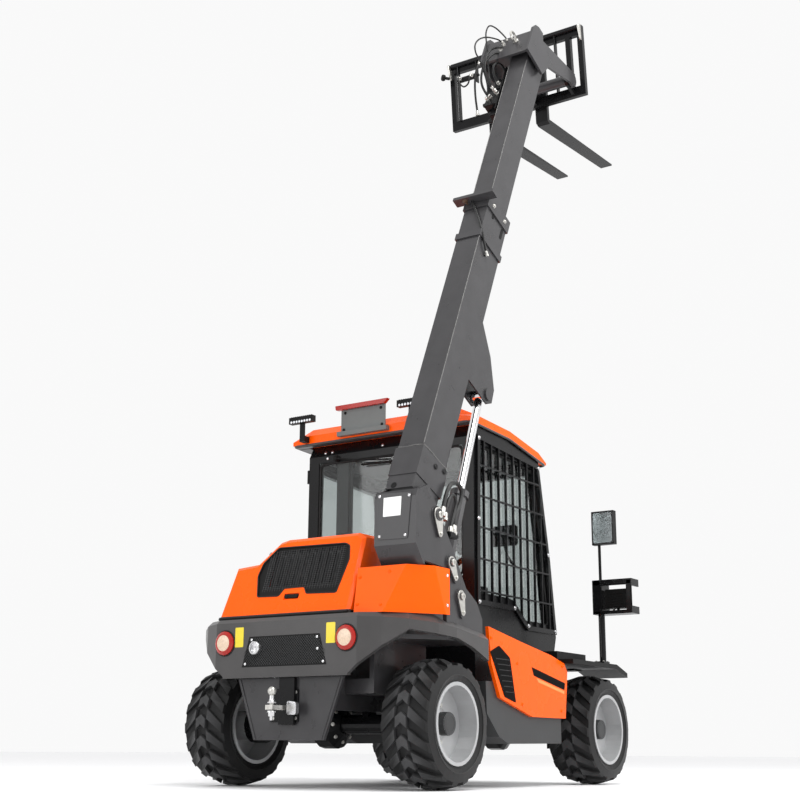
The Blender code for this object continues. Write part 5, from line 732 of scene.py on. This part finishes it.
def head_fittings():
    """Hoses, valve block and lifting eye on the boom's head."""
    body = "boom_inner_section"
    up = BOOM_UP.normalized()
    ahead = (boom(1, 0, 0) - boom(0, 0, 0)).normalized()

    def head(along, across, high=None):
        """A boom-frame point, on the head's own top where no height is given."""
        return seat("boom_inner", boom(along, across, 0.6), -up)[0] if high is None else boom(along, across, high)

    for letter, radius, rows in (
        ("a", 0.0085, (
            (3.5, 0.15, 0.18), (3.515, 0.165, 0.235), (3.57, 0.175, 0.3), (3.66, 0.172, 0.335), (3.76, 0.16, 0.33),
            (3.84, 0.145, 0.285), (3.885, 0.125, 0.23), (3.9, 0.12))),
        ("b", 0.0085, (
            (3.46, 0.185, 0.15), (3.462, 0.2, 0.195), (3.51, 0.215, 0.255), (3.6, 0.212, 0.29), (3.7, 0.19, 0.3),
            (3.79, 0.16, 0.275), (3.835, 0.14, 0.23), (3.85, 0.135))),
        ("c", 0.0055, (
            (3.94, 0.1), (3.985, 0.125, 0.262), (4.0, 0.16, 0.34), (3.96, 0.175, 0.398), (3.88, 0.18, 0.405),
            (3.81, 0.18, 0.37), (3.74, 0.185, 0.315), (3.66, 0.19, 0.255), (3.57, 0.18, 0.21),
            (3.5, 0.145, 0.192), (3.482, 0.133, 0.175))),
        ("d", 0.0055, (
            (3.93, 0.13), (3.915, 0.15, 0.3), (3.85, 0.178, 0.385), (3.76, 0.19, 0.445), (3.68, 0.195, 0.462),
            (3.64, 0.2, 0.425), (3.64, 0.205, 0.36), (3.6, 0.205, 0.27), (3.53, 0.2, 0.2),
            (3.44, 0.205, 0.165))),
        ("e", 0.0095, (
            (3.6, 0.15, 0.13), (3.62, 0.16, 0.19), (3.67, 0.165, 0.235), (3.73, 0.16, 0.23), (3.77, 0.15, 0.18),
            (3.76, 0.145, 0.11), (3.7, 0.14, 0.03), (3.62, 0.14, -0.005), (3.52, 0.14, -0.01),
            (3.44, 0.14, 0.01), (3.385, 0.14, 0.035))),
    ):
        hose("head_hose_" + letter, points(head, rows), radius, body)
    valve = bmesh.new()
    for (x0, y0, z0), (x1, y1, z1) in (
        ((3.38, 0.112, 0.04), (3.53, 0.225, 0.15)), ((3.31, 0.112, 0.0), (3.385, 0.185, 0.11)),
        ((3.3, 0.104, -0.02), (3.75, 0.114, 0.17)), ((3.56, 0.112, 0.09), (3.66, 0.19, 0.14)),
    ):
        corners = points(boom, ((x0, y0, z0), (x1, y0, z0), (x1, y1, z0), (x0, y1, z0)))
        merge(valve, slab(corners, boom(0, 0, z1) - boom(0, 0, z0), 0.004))
    for along, across, high, reach in (
        (3.46, 0.225, 0.1, 45), (3.34, 0.185, 0.04, 45), (3.37, 0.185, 0.085, 30), (3.6, 0.113, 0.05, 100),
        (3.655, 0.113, 0.04, 90), (3.5, 0.225, 0.07, 35),
    ):
        merge(valve, lathe(boom(along, across - 0.002, high), (0, 1, 0), [(21, 0), (21, reach * 0.6),
            (15, reach * 0.65), (15, reach), (8, reach + 4)], 14))
    finished("head_valve", valve, "black_paint", body)
    fittings = bmesh.new()
    for foot in points(boom, ((3.5, 0.15, 0.15), (3.46, 0.185, 0.148), (3.48, 0.132, 0.148), (3.44, 0.205, 0.148),
            (3.6, 0.15, 0.138))):
        merge(fittings, lathe(foot, BOOM_UP, [(15, -2), (15, 12), (11, 14), (11, 30), (8, 32)], 6))
    finished("head_fittings", fittings, "zinc", body)
    foot = head(3.9, 0.02)
    eye = lathe(foot, up, [(22, -2), (22, 8), (14, 12), (12, 22)], 16)
    centre = foot + up * 0.046
    merge(eye, tube([centre + ahead * 0.03 * math.cos(turn) + up * 0.036 * math.sin(turn) for turn in turns(20)],
        0.0085, 8, True))
    finished("lifting_eye", eye, "zinc", body)


def carriage_fittings():
    """The round bar along the carriage's top, its end lugs, knob, ribs, lock cylinder, fork locks and hoses."""
    body = "carriage"
    bar = tube(points(carriage, ((0.062, -0.835, 0.434), (0.062, 0.285, 0.434))), 0.02, 18)
    finished("carriage_round_bar", bar, "black_paint", body)
    lugs = bmesh.new()
    for y in (-0.858, 0.294):
        outline = []
        for z, x, radius, squash, angles in (
            (0.425, 0.06, 0.036, 0.75, arc(0, 0, 180, 20)), (0.345, 0.072, 0.022, 1, arc(0, 180, 360, 30)),
        ):
            outline += [carriage(x + radius * math.cos(turn), y, z + radius * math.sin(turn) * squash)
                for turn in angles]
        merge(lugs, slab(outline, (0, 0.014, 0), 0.002, 1))
    finished("carriage_end_lugs", lugs, "zinc", body)
    finished("carriage_knob", lathe(carriage(0.04, 0.3, 0.33), (-0.6, 0.5, 0),
        [(12, 0), (12, 30), (10, 34), (22, 38), (26, 46), (26, 60), (20, 66), (8, 68)], 18), "black_plastic", body)

    def rib(y, front, foot):
        """An upright rib under the top bar."""
        corners = [carriage(x, y, z) for x, z in ((0.05, foot), (front, foot), (front, 0.425), (0.05, 0.425))]
        return slab(corners, (0, 0.01, 0), 0.002, 1)

    ribs = bmesh.new()
    for y in (0.226, -0.64):
        merge(ribs, rib(y, 0.092, -0.045))
    for start, end, radius, sides in ((0.226, 0.06, 0.022, 16), (0.24, 0.04, 0.01, 12)):
        merge(ribs, tube(points(carriage, ((0.066, start, 0.3), (0.066, end, 0.3))), radius, sides))
    merge(ribs, rib(0.055, 0.088, 0.24))
    finished("carriage_ribs", ribs, "black_paint", body)
    ports = bmesh.new()
    for y in (0.2, 0.09):
        merge(ports, lathe(carriage(0.046, y, 0.3), (-1, 0, 0), [(13, -4), (13, 10), (10, 12), (10, 24), (6, 26)], 6))
    finished("lock_cylinder_ports", ports, "zinc", body)
    hose("lock_hose", points(carriage, ((0.02, 0.2, 0.3), (-0.004, 0.196, 0.29), (-0.01, 0.18, 0.24),
        (0.0, 0.15, 0.205), (0.01, 0.115, 0.225), (0.006, 0.095, 0.27), (0.02, 0.09, 0.3))), 0.0065, body)
    pins = bmesh.new()
    for y in (-0.05, -0.46):
        merge(pins, lathe(carriage(0.128, y, 0.44), (0, 0, 1), [(13, -30), (13, 0), (10, 2)], 14))
        merge(pins, tube(points(carriage, ((0.128, y - 0.018, 0.44), (0.128, y + 0.018, 0.44))), 0.0045, 8))
    finished("fork_locks", pins, "zinc", body)
    hose("carriage_hose", points(carriage, ((0.05, 0.02, 0.395), (0.02, 0.03, 0.34), (0.01, 0.045, 0.27),
        (0.02, 0.06, 0.18), (0.04, 0.07, 0.09), (0.055, 0.072, 0.02), (0.06, 0.072, -0.03))), 0.0085, body)


def pad(name, size, pull, channels, move):
    """A crowned cushion whose sides pull in between its corners, with sewn channels across it."""
    channel_depth, channel_width, bolster_start = 0.1, 0.035, 0.62
    bm = bmesh.new()
    bmesh.ops.create_cube(bm, size=2.0)
    bmesh.ops.subdivide_edges(bm, edges=bm.edges[:], cuts=23, use_grid_fill=True)
    for vertex in bm.verts:
        u, v, w = vertex.co
        reach = (abs(u) ** 5 + abs(v) ** 5 + abs(w) ** 5) ** 0.2
        u, v, w = u / reach, v / reach, w / reach
        crown = (1 - u * u) * (1 - v * v)
        width = 1.0 - pull * (1 - v * v) * abs(u)
        depth = 1.0 - pull * (1 - u * u) * abs(v)
        lift = w * (0.7 + 0.3 * crown)
        if w > 0.2:
            for channel in channels:
                lift -= channel_depth * math.exp(-((u - channel) / channel_width) ** 2) * (1 - v ** 6)
            lift += 0.1 * max(0.0, abs(v) - bolster_start) * 2.0
        vertex.co = move @ Vector((u * width * size[0] / 2, v * depth * size[1] / 2, lift * size[2] / 2))
    piece = finished(name, bm, "seat_cloth", angle=80.0)
    return piece


def driving_seat_fittings():
    """The driver's seat: cushion, backrest, pedestal with its bellows, armrest and lever."""
    cushion = pad("seat_cushion", (0.45, 0.45, 0.105), 0.05, (-0.45, 0.0, 0.45),
        Matrix.Translation(at(1.12, 0.09, 1.096)))
    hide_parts("driver_seat")
    lean = Matrix.Translation(at(0.872, 0.09, 1.375)) @ Matrix.Rotation(math.radians(-97), 4, "Y") @ Matrix.Rotation(
        math.pi, 4, "Z")
    pad("seat_backrest", (0.47, 0.395, 0.095), 0.05, (-0.5, -0.1, 0.3), lean)
    shell = slab(rounded(points(at, ((0.905, -0.085, 1.04), (1.335, -0.085, 1.04), (1.335, 0.265, 1.04),
        (0.905, 0.265, 1.04))), 0.05, 6), (0, 0, -0.03), 0.008)
    merge(shell, block((0.955, -0.05, 0.6555), (1.185, 0.23, 0.78), 0.015))
    for step in range(6):
        z = 0.782 + step * 0.038
        inset = 0.006 * (step % 2)
        merge(shell, block((0.965 + inset, -0.045, z), (1.175 - inset, 0.225, z + 0.036), 0.012))
    finished("seat_pedestal", shell, "black_plastic")
    lever = tube(smooth_path(points(at, ((1.02, -0.15, 1.06), (1.15, -0.16, 1.1), (1.22, -0.16, 1.18),
        (1.235, -0.158, 1.26)))), 0.009, 8)
    merge(lever, lathe(at(1.235, -0.158, 1.255), (0.05, 0, 1), [(12, 0), (21, 10), (24, 45), (20, 72), (9, 80)], 16))
    merge(lever, block((0.93, -0.215, 1.17), (1.18, -0.15, 1.205), 0.014))
    finished("armrest_and_lever", lever, "black_plastic")


def cab_fittings():
    """Screws, wiper, window rubbers, roof lip and liners, lamps, guard bolts, door fittings and the cab's inside."""
    fasteners("header_screws", "cab_frame", on_x(0.4, ((0.622, 2.172), (0.565, 2.173), (0.595, 2.13), (-0.3, 2.172),
        (0.15, 2.172))), (1, 0, 0), 0.0105, "steel_bright", shape=button)
    wiper = lathe(at(0.7, 0.515, 2.118), (-1, 0, 0), [(24, -2), (24, 10), (18, 16), (18, 30), (10, 34)], 18)
    merge(wiper, tube(points(at, ((0.674, 0.515, 2.118), (0.668, 0.3, 2.08), (0.676, 0.06, 2.06))), 0.0055, 6))
    merge(wiper, tube(points(at, ((0.682, 0.3, 2.052), (0.682, 0.06, 2.048), (0.682, -0.18, 2.044))), 0.006, 6))
    merge(wiper, tube(points(at, ((0.69, 0.3, 2.048), (0.69, -0.18, 2.04))), 0.0035, 4))
    finished("rear_wiper", wiper, "black_plastic")
    finished("wiper_motor", block((0.76, 0.455, 2.075), (0.85, 0.58, 2.155), 0.012), "black_plastic")
    rear = rounded(on_x(0.7125, ((0.662, 1.268), (-0.466, 1.268), (-0.466, 2.095), (0.662, 2.095))), 0.045, 5)
    finished("rear_window_rubber", tube(rear, 0.0085, 8, True), "seal_rubber")
    # The right window's corners, as shares of the side wall's length and height
    side = rounded([at(0.7 + 1.09 * x, -0.5285, 0.6 + 1.63 * z) for x, z in (
        (0.054, 0.343), (0.461, 0.343), (0.621, 0.266), (0.934, 0.266), (0.876, 0.533), (0.767, 0.896),
        (0.064, 0.926))], 0.03, 4)
    finished("right_window_rubber", tube(side, 0.0075, 8, True), "seal_rubber")
    # Where the roof's underside bends, and the liner's distance below it
    bend, liner_gap = 1.1578, 0.0035

    def under(x):
        """The height of the roof's underside, which bends down to the front."""
        return 2.2303 - 0.03935 * (x - 0.7436) if x < bend else 2.214 - 0.17255 * (x - bend)

    edge = [at(x, y, under(x) - 0.004) for x, y in ((0.645, 0.845), (0.645, -0.565), (bend, -0.565), (1.664, -0.565),
        (1.664, 0.845), (bend, 0.845))]
    finished("roof_lip", tube(rounded(edge, 0.03, 4), 0.0085, 8, True), "grey_moulding")
    liner = bmesh.new()
    for x0, x1, y0, y1 in ((0.648, 0.698, -0.56, 0.84), (0.702, bend, 0.752, 0.84), (bend, 1.655, 0.752, 0.84)):
        corners = [at(x, y, under(x) - liner_gap) for x, y in ((x0, y0), (x1, y0), (x1, y1), (x0, y1))]
        merge(liner, slab(corners, (0, 0, -0.01), 0.003))
    finished("roof_liner", liner, "grey_moulding")
    strip = rounded(on_x(0.6, ((0.462, 2.4275), (0.07, 2.4275), (0.038, 2.4585), (0.468, 2.4585))), 0.006)
    finished("centre_lamp", slab(strip, (0.03, 0, 0), 0.005), "lamp_red")
    fasteners("plate_screws", "plate_holder", on_x(0.4, ((0.405, 2.29), (0.095, 2.29), (0.395, 2.405),
        (0.105, 2.405))), (1, 0, 0), 0.0105, "black_plastic", shape=button)
    lenses = bmesh.new()
    fins = bmesh.new()
    low, high = (Vector(corner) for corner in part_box("work_lamp_left"))
    for y in (0.73, -0.16):
        for step in range(8):
            centre = Vector((low.x + 0.001, y + ORIGIN.y + (step - 3.5) * 0.0225, high.z - 0.0345))
            merge(lenses, lathe(centre, (-1, 0, 0), [(8.8, 0), (8.8, 1.6), (6, 3)], 12))
        for step in range(11):
            middle = y + (step - 5) * 0.017 + ORIGIN.y
            corners = [Vector((low.x + ahead, middle + aside, high.z - 0.0005))
                for ahead, aside in ((0.006, -0.0035), (0.04, -0.0035), (0.04, 0.0035), (0.006, 0.0035))]
            merge(fins, slab(corners, (0, 0, 0.006), 0.0015, 1))
    finished("work_lamp_lenses", lenses, "lamp_clear")
    finished("work_lamp_fins", fins, "black_plastic")
    fasteners("guard_bolts", "window_guard", on_y(-1.2, ((0.735, 1.1), (1.19, 1.1), (1.37, 1.0), (1.755, 0.99),
        (1.675, 1.5), (1.56, 2.085), (0.745, 2.14), (0.735, 1.62))), (0, 1, 0), 0.0095, "steel_bright")
    handle = smooth_path(points(at, ((1.5, 0.781, 1.18), (1.505, 0.812, 1.2), (1.52, 0.815, 1.3), (1.5, 0.812, 1.4),
        (1.49, 0.781, 1.42))))
    finished("door_grab", tube(handle, 0.01, 10), "black_plastic", "door")
    lock = block((1.385, 0.781, 1.06), (1.49, 0.8, 1.13), 0.008)
    merge(lock, lathe(at(1.415, 0.799, 1.095), (0, 1, 0), [(14, 0), (14, 4), (10, 6)], 16))
    finished("door_lock", lock, "black_plastic", "door")
    hinges = bmesh.new()
    for z in (0.9, 1.5, 1.98):
        merge(hinges, lathe(at(0.7413, 0.7835, z), (0, 0, 1), [(12, 0), (12, 90), (9, 94)], 14))
        merge(hinges, block((0.7413, 0.7815, z + 0.01), (0.815, 0.7885, z + 0.08), 0.002, 1))
    finished("door_hinges", hinges, "black_paint", "door")
    duct = block((0.746, 0.43, 0.6555), (0.794, 0.558, 2.128), 0.018, 3)
    for step in range(6):
        merge(duct, block((0.742, 0.452, 1.5 + step * 0.022), (0.747, 0.536, 1.51 + step * 0.022), 0.002, 1))
    finished("cab_duct", duct, "grey_moulding")
    visor = slab(points(at, ((0.745, 0.655, 2.125), (0.745, -0.46, 2.125), (1.1, -0.46, 2.112), (1.1, 0.655, 2.112))),
        (0, 0, -0.012), 0.004)
    finished("cab_liner", visor, "headliner")
    rail = tube(smooth_path(points(at, ((0.76, -0.435, 1.56), (0.76, -0.435, 1.95), (0.775, -0.42, 2.05)))), 0.016,
        10)
    merge(rail, block((0.745, -0.47, 1.4), (0.78, -0.4, 1.6), 0.01))
    finished("belt_reel", rail, "black_plastic")
    monitor = block((1.48, -0.42, 1.56), (1.52, -0.23, 1.7), 0.01)
    merge(monitor, tube(smooth_path(points(at, ((1.5, -0.325, 1.56), (1.52, -0.34, 1.48), (1.545, -0.38, 1.42)))),
        0.01, 8))
    finished("cab_monitor", monitor, "black_plastic")
    finished("headliner", block((0.77, -0.48, 2.115), (1.52, 0.68, 2.122), 0.003, 1), "headliner")


def side_fittings():
    """The right panel's vent, stripe and bolts, the step's treads, fuel cap, mirror, front lamp and fender grips."""
    # The right panel's outer face
    panel_y = -0.8203
    vent = rounded(on_y(panel_y, ((0.414, 0.768), (0.52, 0.808), (0.65, 0.745), (0.716, 0.486), (0.579, 0.515))),
        0.012)
    finished("side_vent", slab(vent, (0, -0.003, 0), 0.001, 1), "black_trim")
    ribs = bmesh.new()
    for step in range(7):
        z = 0.545 + step * 0.031
        low = 0.6 - (z - 0.515) * 0.58
        high = 0.712 - (z - 0.486) * 0.24
        merge(ribs, tube(on_y(panel_y - 0.003, ((low, z), (high - 0.012, z))), 0.0028, 6))
    finished("side_vent_ribs", ribs, "black_paint")
    for name, finish, proud, rows in (
        ("blank_stripe", "black_trim", 0.001, ((0.923, 0.706), (1.372, 0.628), (1.36, 0.585), (0.95, 0.655))),
        ("pale_band", "orange_pale", 0.0008, ((0.985, 0.642), (1.358, 0.578), (1.354, 0.56), (1.01, 0.618))),
    ):
        finished(name, slab(on_y(panel_y, rows), (0, -proud, 0), 0.0002, 1), finish)
    fasteners("panel_bolts", "side_panel_right", on_y(-1.2, ((0.432, 0.846), (0.745, 0.716), (0.8, 0.48),
        (1.316, 0.455), (1.34, 0.73))), (0, 1, 0), 0.0105, "orange_paint", shape=button)
    treads = bmesh.new()
    for step in range(4):
        x = 0.76 + step * 0.115
        merge(treads, tube(points(at, ((x, 0.7, 0.3695), (x + 0.04, 0.8, 0.3695))), 0.0035, 6))
    finished("step_treads", treads, "steel_bright")
    point, normal = seat("side_box_left", at(0.56, 1.6, 0.52), (0, -1, 0))
    finished("fuel_cap", lathe(point, normal, [(48, -1), (48, 6), (40, 10), (40, 30), (36, 35), (12, 36)], 24),
        "black_plastic")
    low, high = (Vector(corner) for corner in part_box("door_mirror"))

    def mirror(inset, proud):
        """The mirror's outline, drawn in by an inset and standing proud of its face."""
        x, y0, y1, z0, z1 = low.x - proud, low.y + inset, high.y - inset, low.z + inset, high.z - inset
        return rounded([Vector((x, y, z)) for y, z in ((y0, z0), (y1, z0), (y1, z1), (y0, z1))], 0.022, 5)

    finished("mirror_glass", slab(mirror(0.01, 0.0002), (-0.0025, 0, 0), 0.0008, 1), "mirror")
    finished("mirror_rim", tube(mirror(0.006, 0.001), 0.006, 8, True), "seal_rubber")
    guard = bmesh.new()
    for y0, z0, y1, z1 in ((-0.875, 1.1, -0.815, 1.33), (-1.099, 1.29, -0.82, 1.33), (-1.099, 1.11, -1.058, 1.325),
            (-1.095, 1.1, -0.82, 1.124)):
        merge(guard, block((1.829, y0, z0), (1.846, y1, z1), 0.006, 2))
    finished("lamp_guard_plate", guard, "black_paint")
    low, high = (Vector(corner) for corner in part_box("front_work_lamp"))
    middle = (low + high) / 2
    finished("front_lamp_lens", lathe(Vector((high.x - 0.001, middle.y, middle.z + 0.012)), (1, 0, 0),
        [(56, 0), (56, 6), (50, 9), (46, 5), (30, 7), (10, 8)], 28), "lamp_clear")
    fins = bmesh.new()
    for step in range(6):
        z = low.z + 0.04 + step * 0.017
        merge(fins, tube([Vector((low.x - 0.001, y, z)) for y in (low.y + 0.022, high.y - 0.022)], 0.003, 6))
    finished("front_lamp_fins", fins, "black_plastic")
    lead = [Vector((low.x + x, middle.y + y, low.z + z)) for x, y, z in ((0.01, 0, 0.035), (-0.012, 0.02, 0.005),
        (0.005, 0.06, -0.005))]
    lead += [at(1.866, -0.85, z) for z in (1.085, 0.95, 0.82)]
    hose("lamp_lead", lead, 0.0045, ends=False)
    fasteners("post_bolts", "mirror_post", [at(1.89 + dx, -0.85 + dy, 0.9)
        for dx, dy in ((-0.034, -0.018), (-0.034, 0.034), (0.034, -0.018), (0.034, 0.034))], (0, 0, -1), 0.006,
        "zinc")
    grips = bmesh.new()
    for hand, side, start in (("left", 1, 0.16), ("right", -1, 0.44)):
        for step in range(6):
            point, normal = seat("front_fender_" + hand, at(1.47 + step * 0.028 + start, side * 0.64, 1.2),
                (0, 0, -1))
            merge(grips, tube([point, point + Vector((0, side * 0.16, 0))], 0.0028, 6))
    finished("fender_grips", grips, "black_plastic")


def wheel_fittings():
    """Bolts, hub cap, valve and sidewall rings of each wheel; the axles' bolts and hoses; the steering cylinder."""
    # Rays for the seats start this far out to the side
    outside = 1.3
    for place, x in AXLES:
        for hand, side in SIDES:
            name = place + "_" + hand
            rim = "rim_" + name
            body = "wheel_" + name
            inward = (0, -side, 0)
            starts = circle(x, HUB_HEIGHT, 0.1, [math.pi / 6 + turn for turn in turns(6)])
            fasteners("wheel_bolts_" + name, rim, on_y(side * outside, starts), inward, 0.0115, "zinc", body)
            centre, normal = seat(rim, at(x, side * outside, HUB_HEIGHT), inward)
            finished("hub_cap_" + name, lathe(centre, normal, [(62.5, -57), (63.5, -56), (64, -4), (60, 3), (42, 6),
                (40, 4), (20, 4)], 30), "pod_grey", body)
            point = seat(rim, at(x - 0.06, side * outside, HUB_HEIGHT - 0.15), inward)[0]
            finished("valve_" + name, lathe(point, (0.1, side, 0.25), [(8.5, -2), (8.5, 4), (4.5, 8), (4.5, 34),
                (6, 36), (6, 46), (3, 48)], 12), "black_plastic", body)
            rings = bmesh.new()
            for radius in (0.233, 0.262):
                for face in (1, -1):
                    point = seat("tyre_" + name, at(x + radius, side * 0.704 + face * 0.4, HUB_HEIGHT),
                        (0, -face, 0))[0]
                    path = circle(at(x, 0, 0).x, HUB_HEIGHT, radius, turns(36))
                    merge(rings, tube([Vector((a, point.y + face * 0.0005, z)) for a, z in path], 0.003, 6, True))
            finished("sidewall_rings_" + name, rings, "rubber", body)
    for place, x in AXLES:
        node = place + "_axle"
        bolts = bmesh.new()
        for face in (1, -1):
            for start in on_y(face * 0.45, circle(x, HUB_HEIGHT, 0.098, turns(8))):
                point, normal = seat(node, start, (0, -face, 0))
                merge(bolts, bolt(point, normal, 0.0085))
        finished("axle_bolts_" + node, bolts, "zinc")
    hose("axle_hose_a", points(at, ((-0.03, 0.1, 0.49), (-0.1, 0.16, 0.44), (-0.14, 0.26, 0.33), (-0.13, 0.35, 0.275),
        (-0.09, 0.43, 0.3), (-0.05, 0.5, 0.35))), 0.008)
    hose("axle_hose_b", points(at, ((-0.02, 0.14, 0.49), (-0.09, 0.2, 0.42), (-0.11, 0.3, 0.35), (-0.1, 0.4, 0.32),
        (-0.06, 0.48, 0.365))), 0.006)
    bars = tube(points(at, ((1.82, -0.4, 0.3), (1.82, 0.4, 0.3))), 0.016, 12)
    merge(bars, tube(points(at, ((1.82, -0.2, 0.3), (1.82, 0.2, 0.3))), 0.03, 16))
    finished("steering_cylinder", bars, "black_paint")


camera()
finishes()
stage()
dress_nodes()
rear_fittings()
hood_fittings()
tower_fittings()
boom_fittings()
head_fittings()
carriage_fittings()
driving_seat_fittings()
cab_fittings()
side_fittings()
wheel_fittings()
